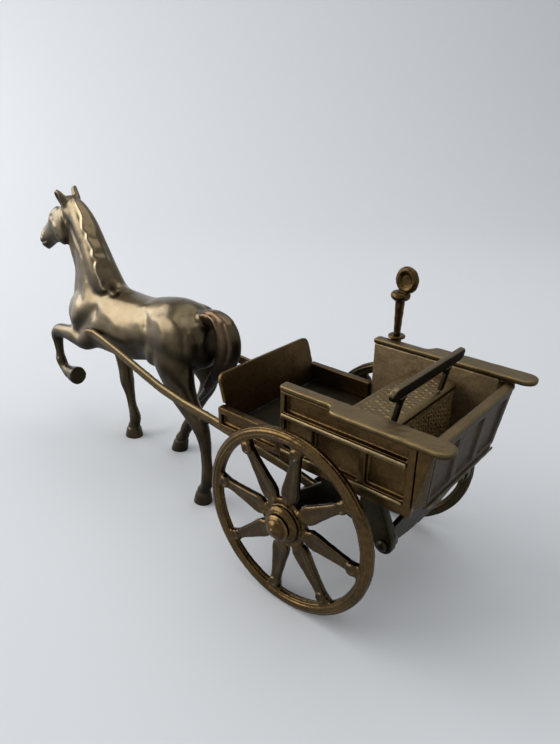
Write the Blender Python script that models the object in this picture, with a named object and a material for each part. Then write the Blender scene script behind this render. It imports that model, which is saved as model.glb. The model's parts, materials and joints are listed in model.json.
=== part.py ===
"""Brass horse drawing a two-wheeled panelled cart, a cast table ornament.

Metres, +Z up. The horse faces -X, the cart's left side is -Y, and the origin is at the
middle of the ornament's length and width, on the surface that it stands on.
Cart and horse are laid out along X from the wheel axle, and then shifted as one.
"""
from math import cos, pi, sin

import bmesh
import bpy
from mathutils import Matrix, Vector

MM = 0.001

# Clearances
GAP = 0.3 * MM
HOLE_GAP = 0.3 * MM

# Wheels and axle
WHEEL_RADIUS = 46.0 * MM
WHEEL_OUTSET = 8.0 * MM
RIM_DEPTH = 6.2 * MM
RIM_WIDTH = 5.0 * MM
RIM_RIDGE = 0.7 * MM
SPOKE_COUNT = 8
SPOKE_TURN = 8.0
SPOKE_THICKNESS = 3.6 * MM
SPOKE_WIDE = 8.8 * MM
SPOKE_NARROW = 5.0 * MM
SPOKE_CHAMFER = 0.8 * MM
SPOKE_BOSS_RADIUS = 2.5 * MM
HUB_RADIUS = 9.2 * MM
HUB_LENGTH = 10.8 * MM
AXLE_ARM_RADIUS = 3.0 * MM
AXLE_BEAM_SIZE = 7.0 * MM
AXLE_BEAM_RISE = 8.8 * MM
HUB_CAP_RADIUS = 6.2 * MM
HUB_CAP_DOME = 5.3 * MM
HUB_CAP_HEIGHT = 4.2 * MM
WASHER_RADIUS = 5.6 * MM

# Cart body
BODY_ABOVE_AXLE = 24.2 * MM
BODY_HEIGHT = 37.0 * MM
BODY_WIDTH = 79.0 * MM
BODY_WALL = 4.0 * MM
BODY_FRONT = -11.4 * MM
SIDE_REAR = 54.6 * MM
TAILGATE_X = 57.1 * MM
FLOOR_THICKNESS = 2.4 * MM
PANEL_RECESS = 2.2 * MM
PANEL_FRAME = 2.4 * MM
PANEL_REAR_STILE = 3.4 * MM
WAIST_ABOVE_BASE = 21.4 * MM
WAIST_HEIGHT = 2.8 * MM
BASE_MOULDING_HEIGHT = 2.0 * MM
BASE_MOULDING_RISE = 4.6 * MM
MOULDING_DEPTH = 0.9 * MM
LOWER_STILES = (5.0 * MM, 31.6 * MM)
LOWER_STILE_WIDTH = 3.2 * MM

# Rails on top of the sides
RAIL_THICKNESS = 2.6 * MM
RAIL_OVERHANG = 0.7 * MM
RAIL_NARROW = 5.6 * MM
RAIL_WIDE = 10.8 * MM
RAIL_STEP_X = 17.0 * MM
RAIL_TIP_X = 69.8 * MM

# Tailgate and corner posts
TAILGATE_LEAN = 7.3
TAILGATE_THICKNESS = 3.0 * MM
TAILGATE_TOP_INSET = 2.8 * MM
TAILGATE_FOOT_INSET = 8.5 * MM
TAILGATE_PANELS = 3
TAILGATE_STILE = 6.0 * MM
TAILGATE_RECESS = 1.3 * MM
TAILGATE_RAIL_DEPTH = 4.4 * MM

# Footwell and dashboard
FOOTWELL_FRONT = -51.6 * MM
FOOTWELL_INSET = 1.5 * MM
FOOTWELL_WALL = 4.2 * MM
FOOTWELL_HEIGHT = 11.8 * MM
DASH_FOOT_X = -48.6 * MM
DASH_HEIGHT = 23.8 * MM
DASH_WIDTH = 69.0 * MM
DASH_THICKNESS = 2.2 * MM
DASH_LEAN = 16.8
DASH_CORNER = 4.0 * MM

# Seat
SEAT_FRONT = 13.6 * MM
SEAT_REAR = 36.8 * MM
SEAT_WIDTH = 62.0 * MM
SEAT_TOP = 99.0 * MM
SEAT_THICKNESS = 3.0 * MM
SEAT_TUFT = 0.7 * MM
SEAT_TUFT_ROWS = 4
SEAT_TUFT_COLUMNS = 10
SEAT_PANEL = 2.4 * MM
BACKREST_LENGTH = 62.6 * MM
BACKREST_HEIGHT = 6.2 * MM
BACKREST_THICKNESS = 2.4 * MM
BACKREST_RISE = 13.2 * MM
BACKREST_LEAN = 11.0
BACKREST_OFFSET = 1.2 * MM
BACKREST_INSET = 2.0 * MM
STRUT_SPACING = 40.4 * MM
STRUT_WIDTH = 3.0 * MM
STRUT_THICKNESS = 2.0 * MM
STRUT_OFFSET = 2.4 * MM
STRUT_FLARE = 2.0 * MM

# Whip and its socket
WHIP_X = -3.4 * MM
SOCKET_RADIUS = 4.4 * MM
SOCKET_PLATE = 1.4 * MM
SOCKET_CUP_RADIUS = 2.5 * MM
SOCKET_CUP_DEPTH = 5.6 * MM
WHIP_STEM_RADIUS = 1.7 * MM
WHIP_STEM_TOP_RADIUS = 2.5 * MM
WHIP_FOOT_RADIUS = 1.4 * MM
WHIP_FOOT_DEPTH = 5.0 * MM
WHIP_STEM_LENGTH = 18.0 * MM
WHIP_COLLAR_RADIUS = 5.0 * MM
WHIP_COLLAR_HEIGHT = 4.8 * MM
WHIP_RING_RADIUS = 4.3 * MM
WHIP_RING_TUBE = 2.0 * MM
WHIP_RING_STRETCH = 1.15
WHIP_RING_OFFSET = 2.8 * MM
WHIP_RING_SINK = 1.0 * MM

# Shafts and what holds them
SHAFT_THICKNESS = 2.8 * MM
SHAFT_HEIGHT = 5.4 * MM
SHAFT_TIP_HEIGHT = 1.8 * MM
SHAFT_REACH = 8.0 * MM
SHAFT_INSET = 7.5 * MM
SHAFT_CLEARANCE = 0.5 * MM
SHAFT_END_BOSS = 3.6 * MM
PIN_X = -178.0 * MM
PIN_HEIGHT = 81.6 * MM
PIN_RADIUS = 1.7 * MM
PIN_SHAFT_Y = 20.0 * MM
PIN_SEAT_DEPTH = 1.7 * MM
BRACKET_THICKNESS = 2.8 * MM
BRACKET_EYE_WALL = 3.2 * MM
BRACKET_WAIST_X = 18.0 * MM
BRACKET_WAIST_RISE = 10.0 * MM
BRACKET_FRONT_RISE = 7.0 * MM
BRACKET_TOP_FRONT = 10.0 * MM
BRACKET_TOP_REAR = 25.0 * MM
BRACKET_TOP_DEPTH = 4.5 * MM
POST_FOOT_RISE = 3.2 * MM
HANGER_X = 43.6 * MM
HANGER_RISE = 4.4 * MM
HANGER_EYE = 4.4 * MM
HANGER_ARM_X = 31.0 * MM
HANGER_ARM_WIDTH = 10.4 * MM
HANGER_ARM_EDGE = 3.0 * MM
HANGER_THICKNESS = 4.0 * MM
CROSS_BAR_THICKNESS = 2.4 * MM
CROSS_BAR_END_HEIGHT = 8.3 * MM
CROSS_BAR_BOW = 2.9 * MM
CROSS_BAR_ARCH = 1.7 * MM
CROSS_BAR_BELOW_EYE = 2.4 * MM
BOLT_RADIUS = 1.6 * MM
BOLT_HEAD_RADIUS = 2.8 * MM
BOLT_HEAD_HEIGHT = 1.4 * MM

# Horse
HORSE_GRID = 1.0 * MM
HORSE_VOXEL = 1.5 * MM
HORSE_FACES = 4100

# Worked out from the sizes above
AXLE_Z = WHEEL_RADIUS
WHEEL_TRACK = BODY_WIDTH + 2 * WHEEL_OUTSET
WHEEL_Y = WHEEL_TRACK / 2
BODY_BOTTOM = AXLE_Z + BODY_ABOVE_AXLE
BODY_TOP = BODY_BOTTOM + BODY_HEIGHT
BODY_Y = BODY_WIDTH / 2
FOOTWELL_WIDTH = BODY_WIDTH - 2 * FOOTWELL_INSET
RAIL_BOTTOM = BODY_TOP - RAIL_THICKNESS
WALL_TOP = RAIL_BOTTOM - GAP
FLOOR_TOP = BODY_BOTTOM + FLOOR_THICKNESS
INNER_Y = BODY_Y - BODY_WALL
RAIL_INNER_Y = INNER_Y - RAIL_OVERHANG
TAILGATE_TOP_WIDTH = BODY_WIDTH - 2 * TAILGATE_TOP_INSET
TAILGATE_FOOT_WIDTH = BODY_WIDTH - 2 * TAILGATE_FOOT_INSET
SHAFT_BODY_Y = BODY_Y - SHAFT_INSET
SHAFT_UNDER_Z = BODY_BOTTOM - SHAFT_CLEARANCE - SHAFT_HEIGHT / 2
LEAN_PER_RISE = sin(TAILGATE_LEAN * pi / 180) / cos(TAILGATE_LEAN * pi / 180)
SHAFT_OUTER_Y = SHAFT_BODY_Y + SHAFT_THICKNESS / 2
BRACKET_INNER_Y = SHAFT_OUTER_Y + GAP
BRACKET_OUTER_Y = BRACKET_INNER_Y + BRACKET_THICKNESS
SEAT_UNDERSIDE = SEAT_TOP - SEAT_THICKNESS
HANGER_Z = AXLE_Z + HANGER_RISE
HANGER_OUTER_Y = BRACKET_INNER_Y + HANGER_THICKNESS


def clear_scene():
    for old in list(bpy.data.objects):
        bpy.data.objects.remove(old, do_unlink=True)


def make_brass(name, colour, roughness):
    material = bpy.data.materials.new(name)
    material.use_nodes = True
    shader = material.node_tree.nodes["Principled BSDF"]
    shader.inputs["Base Color"].default_value = (*colour, 1.0)
    shader.inputs["Metallic"].default_value = 1.0
    shader.inputs["Roughness"].default_value = roughness
    return material


DARK_BRASS = ((0.20, 0.15, 0.085), 0.42)
RAIL_BRASS = ((0.33, 0.26, 0.15), 0.38)
WHEEL_BRASS = ((0.36, 0.26, 0.12), 0.33)
HORSE_BRASS = ((0.30, 0.22, 0.12), 0.25)
SHADED_BRASS = ((0.12, 0.09, 0.055), 0.45)


def make_empty(name, location):
    empty = bpy.data.objects.new(name, None)
    empty.location = location
    bpy.context.scene.collection.objects.link(empty)
    return empty


def add_piece(name, bm, origin, parent, finish, smooth_angle=None):
    """Makes an object of a bmesh drawn from the axle, with its own origin, under an empty."""
    bmesh.ops.translate(bm, verts=bm.verts, vec=-Vector(origin))
    bmesh.ops.recalc_face_normals(bm, faces=bm.faces)
    mesh = bpy.data.meshes.new(name)
    bm.to_mesh(mesh)
    bm.free()
    if smooth_angle is not None:
        mesh.shade_smooth()
        mesh.set_sharp_from_angle(angle=smooth_angle)
    mesh.materials.append(make_brass(name, *finish))
    piece = bpy.data.objects.new(name, mesh)
    bpy.context.scene.collection.objects.link(piece)
    piece.parent = parent
    piece.location = Vector(origin) - Vector(parent["from_axle"])
    return piece


def mirrored(bm):
    """Turns a left piece into its right twin."""
    bmesh.ops.scale(bm, verts=bm.verts, vec=(1, -1, 1))
    bmesh.ops.reverse_faces(bm, faces=bm.faces)
    return bm


def box(low, high):
    bm = bmesh.new()
    bmesh.ops.create_cube(bm, size=1.0)
    size = Vector(high) - Vector(low)
    bmesh.ops.scale(bm, verts=bm.verts, vec=size)
    bmesh.ops.translate(bm, verts=bm.verts, vec=(Vector(high) + Vector(low)) / 2)
    return bm


def prism(outline, axis, low, high):
    """Extrudes an outline along X, Y or Z. Its points give the other two coordinates in order."""
    places = {"X": lambda a, b: (low, a, b), "Y": lambda a, b: (a, low, b),
              "Z": lambda a, b: (a, b, low)}
    step = {"X": (high - low, 0, 0), "Y": (0, high - low, 0), "Z": (0, 0, high - low)}
    bm = bmesh.new()
    face = bm.faces.new([bm.verts.new(places[axis](a, b)) for a, b in outline])
    grown = bmesh.ops.extrude_face_region(bm, geom=[face])
    moved = [item for item in grown["geom"] if isinstance(item, bmesh.types.BMVert)]
    bmesh.ops.translate(bm, verts=moved, vec=step[axis])
    bmesh.ops.recalc_face_normals(bm, faces=bm.faces)
    return bm


def turned(profile, centre, segments):
    """Spins a profile of (distance along Y, radius) round the Y axis through a centre."""
    bm = bmesh.new()
    verts = [bm.verts.new((centre[0] + radius, centre[1] + along, centre[2])) for along, radius in profile]
    edges = [bm.edges.new(pair) for pair in zip(verts, verts[1:])]
    bmesh.ops.spin(bm, geom=verts + edges, cent=centre, axis=(0, 1, 0), angle=2 * pi,
                   steps=segments, use_merge=True)
    bmesh.ops.remove_doubles(bm, verts=bm.verts, dist=0.001 * MM)
    bmesh.ops.holes_fill(bm, edges=bm.edges, sides=0)
    bmesh.ops.recalc_face_normals(bm, faces=bm.faces)
    return bm


def turned_upright(profile, centre, segments):
    """Spins a profile of (height, radius) round a vertical axis."""
    bm = turned(profile, (0, 0, 0), segments)
    bmesh.ops.rotate(bm, verts=bm.verts, matrix=Matrix.Rotation(pi / 2, 3, "X"))
    bmesh.ops.translate(bm, verts=bm.verts, vec=centre)
    return bm


def closed_ring_profile(points):
    """A profile that comes back to its first point, for a ring or a bored piece."""
    return points + [points[0]]


def arc(centre, radius, first, last, steps):
    angles = [first + (last - first) * k / steps for k in range(steps + 1)]
    turns = [a * pi / 180 for a in angles]
    return [(centre[0] + radius * cos(a), centre[1] + radius * sin(a)) for a in turns]


def combined(base, tools, operation):
    """Applies Booleans of bmesh tools to a bmesh and gives back the result as a bmesh."""
    objects = []
    for bm in [base] + tools:
        mesh = bpy.data.meshes.new("working")
        bmesh.ops.recalc_face_normals(bm, faces=bm.faces)
        bm.to_mesh(mesh)
        bm.free()
        objects.append(bpy.data.objects.new("working", mesh))
        bpy.context.scene.collection.objects.link(objects[-1])
    for tool in objects[1:]:
        cut = objects[0].modifiers.new("cut", "BOOLEAN")
        cut.object = tool
        cut.operation = operation
        cut.solver = "EXACT"
    bpy.context.view_layer.update()
    seen = objects[0].evaluated_get(bpy.context.evaluated_depsgraph_get())
    result = bmesh.new()
    result.from_mesh(seen.to_mesh())
    seen.to_mesh_clear()
    for item in objects:
        mesh = item.data
        bpy.data.objects.remove(item, do_unlink=True)
        bpy.data.meshes.remove(mesh)
    bmesh.ops.dissolve_limit(result, angle_limit=0.5 * pi / 180, verts=result.verts, edges=result.edges)
    bmesh.ops.triangulate(result, faces=result.faces)
    return result


def softened(bm, width, segments=1):
    """Rounds the edges that meet at more than 30 degrees."""
    sharp = [edge for edge in bm.edges if edge.is_manifold and edge.calc_face_angle(0) > pi / 6]
    bmesh.ops.bevel(bm, geom=sharp, offset=width, segments=segments, profile=0.5, affect="EDGES",
                    material=-1, clamp_overlap=True)
    return bm


def spline_between(values, t):
    """Catmull-Rom through evenly numbered rows of values, at the place t."""
    i = min(int(t), len(values) - 2)
    f = t - i
    before = values[max(i - 1, 0)]
    after = values[min(i + 2, len(values) - 1)]
    out = []
    for a, b, c, d in zip(before, values[i], values[i + 1], after):
        out.append(0.5 * (2 * b + (c - a) * f + (2 * a - 5 * b + 4 * c - d) * f * f
                          + (3 * b - a - 3 * c + d) * f ** 3))
    return out


def on_grid(place):
    """A place on the horse's grid, whose square 178 in front of the axle is at the shaft pin."""
    return Vector((PIN_X + (place[0] + 178) * HORSE_GRID, place[1] * HORSE_GRID, place[2] * HORSE_GRID))


def limb(bm, stations, sides=14, steps=3):
    """Lofts a closed tube through rows of x, y, z, half depth and half width.

    Depth lies across the tube in its own plane, and width lies mostly along Y. Rows are in grid squares.
    """
    count = (len(stations) - 1) * steps
    rows = [spline_between(stations, k / steps) for k in range(count + 1)]
    centres = [on_grid(row[:3]) for row in rows]
    rings = []
    for k, row in enumerate(rows):
        along = (centres[min(k + 1, count)] - centres[max(k - 1, 0)]).normalized()
        wide = Vector((0, 1, 0))
        wide = (wide - along * wide.dot(along)).normalized()
        deep = along.cross(wide)
        frame = Matrix((deep * row[3] * HORSE_GRID, wide * row[4] * HORSE_GRID, along))
        turn = frame.transposed().to_4x4()
        place = Matrix.Translation(centres[k]) @ turn
        ring = bmesh.ops.create_circle(bm, cap_ends=False, segments=sides, radius=1.0, matrix=place)
        rings.append(ring["verts"])
    for low, high in zip(rings, rings[1:]):
        for i in range(sides):
            j = (i + 1) % sides
            bm.faces.new((low[i], low[j], high[j], high[i]))
    bm.faces.new(rings[0])
    bm.faces.new(rings[-1])


def muscle(bm, centre, radii, pitch=0.0):
    """Adds an ellipsoid, turned about Y by a pitch in degrees."""
    size = Matrix.Diagonal((radii[0] * HORSE_GRID, radii[1] * HORSE_GRID, radii[2] * HORSE_GRID, 1))
    turn = Matrix.Rotation(pitch * pi / 180, 4, "Y")
    place = Matrix.Translation(on_grid(centre)) @ turn @ size
    bmesh.ops.create_icosphere(bm, subdivisions=3, radius=1.0, matrix=place)


def horse_form():
    """The horse's body, drawn on its grid as overlapping closed forms."""
    bm = bmesh.new()
    torso = [(-93, 0, 92, 8, 8), (-98, 0, 91.4, 14.4, 13.6), (-107, 0, 91, 18.6, 17.4),
             (-118, 0, 92, 20.6, 18.8), (-130, 0, 91, 20, 18), (-142, 0, 88.5, 19.2, 17.2),
             (-156, 0, 86.2, 20.6, 18), (-172, 0, 85.2, 22.2, 18.2), (-188, 0, 85, 23, 17.2),
             (-202, 0, 84, 22, 15.6), (-213, 0, 83, 18.5, 13.4), (-221, 0, 83, 13, 10),
             (-225.5, 0, 83, 4, 4)]
    neck = [(-186, 0, 86, 23, 14), (-192.5, 0, 97, 23, 12.8), (-197, 0, 111, 19, 10.4),
            (-201.6, 0, 127, 14.8, 8.2), (-206.4, 0, 140.2, 11.6, 7), (-211.6, 0, 148.4, 8.8, 6.2),
            (-217.4, 0, 152.6, 7, 5.2)]
    throat = [(-212, 0, 148, 5, 4.4), (-217.4, 0, 137, 7, 5.2), (-216, 0, 126, 6.8, 5.2),
              (-212, 0, 114, 6.6, 5.8), (-212, 0, 102, 7.8, 7.6), (-213, 0, 92, 8.4, 9)]
    head = [(-211, 0, 150, 6.6, 5), (-216, 0, 148.2, 10.2, 6.2), (-222, 0, 142.8, 10.8, 6.8),
            (-230.6, 0, 139, 11, 6.2), (-238.4, 0, 135.4, 9.4, 5), (-245.8, 0, 131.8, 8.2, 4.4),
            (-251, 0, 127, 6.4, 4.7), (-255.5, 0, 124.4, 5.2, 4.2), (-257.6, 0, 123.2, 2.2, 2.2)]
    tail = [(-107, 0, 102.6, 3.5, 4), (-99, 0, 106.2, 4.4, 4.4), (-90.2, 0, 107, 5.6, 5.2),
            (-83.2, 0, 103, 7.2, 6), (-81, 0, 95, 8.1, 6.4), (-82.8, 0, 86, 7.2, 5.8),
            (-88, 0, 77.4, 5.2, 4.8), (-94.6, 0, 69, 3.4, 3.6), (-101, 0, 60, 2.6, 2.8),
            (-107, 0, 52, 1.4, 1.6)]
    raised_fore = [(-200, -8.5, 84, 12, 7.4), (-199, -10, 74, 10, 7), (-203, -11, 69.5, 8, 6.2),
                   (-213, -11, 69.5, 6.8, 5.4), (-224, -11, 69, 5.2, 4.6), (-233, -11, 67.8, 4.8, 4.4),
                   (-237.2, -11, 64, 4.6, 4.2), (-237.4, -11, 58, 3.6, 3.3), (-237, -11, 51, 3, 2.8),
                   (-236.4, -11.2, 45.5, 3.8, 3.5), (-232.6, -11.5, 40.6, 3.4, 3.2),
                   (-227, -11.8, 38.8, 4.4, 4.2), (-219.5, -12.2, 39, 5.8, 5.6),
                   (-214.6, -12.5, 39.4, 6.5, 6.3)]
    standing_fore = [(-201, 8.5, 84, 11, 7.4), (-196, 10, 71, 9.4, 6.8), (-192, 9.6, 57, 7.2, 5.4),
                     (-188.5, 8, 46, 5.4, 4.5), (-185.8, 6.6, 38, 5.2, 4.6), (-183, 6, 30.5, 3.8, 3.3),
                     (-180.4, 5.2, 22, 3.2, 2.9), (-177.4, 4.5, 14.4, 4.2, 3.7),
                     (-177.6, 4, 9.4, 3.8, 3.6), (-178.2, 3.7, 6.6, 5, 4.6),
                     (-178.6, 3.5, 0, 6.6, 5.8), (-178.6, 3.5, -2, 6.8, 6)]
    rear_hind = [(-114, -9, 92, 18, 9), (-113, -11.5, 79, 15.5, 8.6), (-104.5, -14.6, 65.5, 10.6, 6.4),
                 (-95.5, -16.2, 56.5, 7.2, 5), (-88, -17, 49.4, 5.8, 4.5), (-84.4, -17.2, 41, 4.2, 3.6),
                 (-83, -17.5, 30, 3.4, 2.9), (-82, -18, 17, 4, 3.7), (-84, -18, 10.6, 3.6, 3.4),
                 (-85.4, -18, 7, 4.7, 4.4), (-86.4, -18, 0, 5.8, 5.4), (-86.4, -18, -2, 6, 5.6)]
    front_hind = [(-114, 9, 92, 18, 9), (-117.5, 11.5, 80, 15.5, 8.4), (-115, 12.6, 68.5, 10.4, 6.4),
                  (-111.8, 13, 59, 6.6, 4.8), (-114.4, 13, 51.5, 4.8, 4.2), (-119.5, 13, 43, 3.8, 3.4),
                  (-126, 13, 31.5, 3.3, 2.9), (-132.6, 12.8, 20.4, 4, 3.7),
                  (-136, 12.6, 13.6, 3.6, 3.4), (-138.6, 12.5, 8.4, 4.7, 4.5),
                  (-141.4, 12.5, 0, 5.8, 5.4), (-141.6, 12.5, -2, 6, 5.6)]
    for stations in (torso, neck, throat, head, tail, raised_fore, standing_fore, rear_hind, front_hind):
        limb(bm, stations)
    for side, tip in ((-1, (-224.6, -6.8, 161.6, 1.7, 1.3)), (1, (-224.6, 6.8, 163.2, 2.2, 1.6))):
        muscle(bm, (-113, side * 11, 91.6), (18.4, 9, 16.4), 20)
        muscle(bm, (-129, side * 11.5, 82), (8, 7, 11), 20)
        muscle(bm, (-203, side * 8.5, 84), (12, 8, 17), 15)
        muscle(bm, (-181, side * 9, 84), (14, 9.6, 13))
        muscle(bm, (-160, side * 7.4, 84), (24, 11.6, 17))
        muscle(bm, (-227, side * 4.4, 136), (7.6, 3.4, 9.6), -30)
        muscle(bm, (-237, side * 4.2, 144.2), (4.4, 2.3, 3.2), 30)
        ear = [(-218, side * 3.8, 152.4, 3.4, 2.2), (-220.2, side * 4.9, 156.2, 3.8, 2.2),
               (-222.6, side * 5.9, 159.4, 3.2, 1.9), tip]
        limb(bm, ear, sides=10)
    muscle(bm, (-83, -17, 56), (3.2, 3, 4.4))
    muscle(bm, (-108.4, 13, 63), (3.2, 3, 4.4))
    muscle(bm, (-168, 0, 101), (16, 5, 7.6), 18)
    muscle(bm, (-232, 0, 144.8), (8.4, 4.8, 4.8), 30)
    muscle(bm, (-219.4, 0, 153.6), (6, 6.2, 5.4), 0)
    mane = [(-211.5, -3.4, 150.4, 3.4, 3), (-203.6, -5.6, 143, 4.6, 3.2), (-196, -7.2, 133, 5.6, 3.4),
            (-189, -8.6, 122, 6.6, 4), (-184, -9.2, 112, 6.4, 4), (-178, -8.8, 105.6, 4, 3)]
    limb(bm, mane)
    return bm


def cast_horse():
    """Fuses the horse's forms into one skin, cuts its soles flat and bores it for the shaft pin."""
    bm = horse_form()
    bmesh.ops.recalc_face_normals(bm, faces=bm.faces)
    mesh = bpy.data.meshes.new("working horse")
    bm.to_mesh(mesh)
    bm.free()
    working = bpy.data.objects.new("working horse", mesh)
    bpy.context.scene.collection.objects.link(working)
    skin = working.modifiers.new("one skin", "REMESH")
    skin.mode = "VOXEL"
    skin.voxel_size = HORSE_VOXEL
    blend = working.modifiers.new("blend", "SMOOTH")
    blend.factor = 0.5
    blend.iterations = 4
    bpy.context.view_layer.update()
    seen = working.evaluated_get(bpy.context.evaluated_depsgraph_get())
    dense = len(seen.data.polygons) * 2
    coarse = working.modifiers.new("fewer faces", "DECIMATE")
    coarse.ratio = min(1.0, HORSE_FACES / dense)
    bpy.context.view_layer.update()
    seen = working.evaluated_get(bpy.context.evaluated_depsgraph_get())
    bm = bmesh.new()
    bm.from_mesh(seen.to_mesh())
    seen.to_mesh_clear()
    bpy.data.objects.remove(working, do_unlink=True)
    bpy.data.meshes.remove(mesh)
    cut = bmesh.ops.bisect_plane(bm, geom=bm.verts[:] + bm.edges[:] + bm.faces[:], dist=0.01 * MM,
                                 plane_co=(0, 0, 0), plane_no=(0, 0, 1), clear_inner=True)
    rims = [item for item in cut["geom_cut"] if isinstance(item, bmesh.types.BMEdge)]
    bmesh.ops.holes_fill(bm, edges=rims, sides=0)
    bmesh.ops.triangulate(bm, faces=bm.faces)
    bore_length = 2 * (PIN_SHAFT_Y + SHAFT_THICKNESS)
    profile = [(-bore_length / 2, 0), (-bore_length / 2, PIN_RADIUS + HOLE_GAP),
               (bore_length / 2, PIN_RADIUS + HOLE_GAP), (bore_length / 2, 0)]
    bore = turned(profile, (PIN_X, 0, PIN_HEIGHT), 16)
    return combined(bm, [bore], "DIFFERENCE")


def rim_profile():
    """The tyre's section: three ridges outside, from the inner face to the outer one."""
    half = RIM_WIDTH / 2
    inner = WHEEL_RADIUS - RIM_DEPTH
    face = 0.9 * MM
    ridge = WHEEL_RADIUS - RIM_RIDGE
    return [(-half + face, inner), (-half, inner + face), (-half, ridge - face), (-half / 2, WHEEL_RADIUS),
            (0, WHEEL_RADIUS), (half / 2, WHEEL_RADIUS), (half, ridge - face), (half, inner + face),
            (half - face, inner)]


def spoke_outline():
    """Half widths of the paddle-shaped spoke, from inside the hub to inside the rim."""
    start = HUB_RADIUS * 0.6
    inner = WHEEL_RADIUS - RIM_DEPTH
    half = SPOKE_NARROW / 2
    return [(start, half), (HUB_RADIUS + 0.8 * MM, half), (HUB_RADIUS + 5.2 * MM, SPOKE_WIDE / 2),
            (HUB_RADIUS + 8.4 * MM, SPOKE_WIDE / 2), (inner - 5.4 * MM, half), (inner - 0.6 * MM, half * 1.45),
            (inner + 1.5 * MM, half * 1.45)]


def cast_wheel(side):
    """Rim, hub and paddle spokes in one casting, bored for the axle arm."""
    centre = (0, side * WHEEL_Y, AXLE_Z)
    rim = turned(closed_ring_profile(rim_profile()), centre, 48)
    bore = AXLE_ARM_RADIUS + HOLE_GAP
    half = HUB_LENGTH / 2
    nave = [(-half, bore), (-half, HUB_RADIUS - 2.4 * MM), (-half + 2.2 * MM, HUB_RADIUS - 0.8 * MM),
            (half - 2.6 * MM, HUB_RADIUS - 0.6 * MM), (half - 2 * MM, HUB_RADIUS), (half - MM, HUB_RADIUS),
            (half - 0.4 * MM, HUB_RADIUS - MM), (half, HUB_RADIUS - 1.6 * MM), (half, bore)]
    if side < 0:
        nave = [(-along, radius) for along, radius in reversed(nave)]
    hub = turned(closed_ring_profile(nave), centre, 24)
    parts = []
    outline = spoke_outline()
    points = outline + [(along, -half_width) for along, half_width in reversed(outline)]
    boss_place = WHEEL_RADIUS - RIM_DEPTH - SPOKE_BOSS_RADIUS - 0.3 * MM
    face = SPOKE_THICKNESS / 2
    for k in range(SPOKE_COUNT):
        low = side * WHEEL_Y - face
        spoke = softened(prism(points, "Y", low, low + SPOKE_THICKNESS), SPOKE_CHAMFER)
        proud = face + 0.5 * MM
        knob = turned([(0, 0), (0, SPOKE_BOSS_RADIUS), (side * (proud - 0.4 * MM), SPOKE_BOSS_RADIUS),
                       (side * proud, SPOKE_BOSS_RADIUS - 0.5 * MM), (side * proud, 0)],
                      (boss_place, side * WHEEL_Y, 0), 8)
        turn = Matrix.Rotation((SPOKE_TURN + 360 * k / SPOKE_COUNT) * pi / 180, 4, "Y")
        for bm in (spoke, knob):
            bmesh.ops.transform(bm, matrix=Matrix.Translation((0, 0, AXLE_Z)) @ turn, verts=bm.verts)
            parts.append(bm)
    return combined(rim, parts + [hub], "UNION")


def shaft_rows():
    """Rows of x, y, z and half height along the left shaft, from its free tip to the rear boss."""
    reach = FOOTWELL_FRONT - PIN_X
    spread = SHAFT_BODY_Y - PIN_SHAFT_Y
    fall = PIN_HEIGHT - SHAFT_UNDER_Z
    full = SHAFT_HEIGHT / 2
    rows = [(PIN_X - SHAFT_REACH, -PIN_SHAFT_Y - 0.3 * MM, PIN_HEIGHT + 0.3 * MM, SHAFT_TIP_HEIGHT / 2),
            (PIN_X - SHAFT_REACH * 0.55, -PIN_SHAFT_Y - 0.2 * MM, PIN_HEIGHT + 0.2 * MM, full * 0.86),
            (PIN_X, -PIN_SHAFT_Y, PIN_HEIGHT, full)]
    before_cart = [(0.096, 0.16, 0.048), (0.254, 0.42, 0.185), (0.421, 0.62, 0.43), (0.573, 0.78, 0.664),
                   (0.743, 0.9, 0.829), (0.933, 0.98, 0.93), (1.0, 1.0, 1.0)]
    for a, b, c in before_cart:
        rows.append((PIN_X + reach * a, -PIN_SHAFT_Y - spread * b, PIN_HEIGHT - fall * c, full))
    under_cart = [(0.164, 0.136), (0.395, 0.295), (0.562, 0.5), (0.742, 0.682), (0.879, 0.852)]
    for a, c in under_cart:
        rows.append((FOOTWELL_FRONT + (HANGER_X - FOOTWELL_FRONT) * a, -SHAFT_BODY_Y,
                     SHAFT_UNDER_Z - (SHAFT_UNDER_Z - HANGER_Z) * c, full))
    rows.append((HANGER_X, -SHAFT_BODY_Y, HANGER_Z, full))
    return rows


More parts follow.
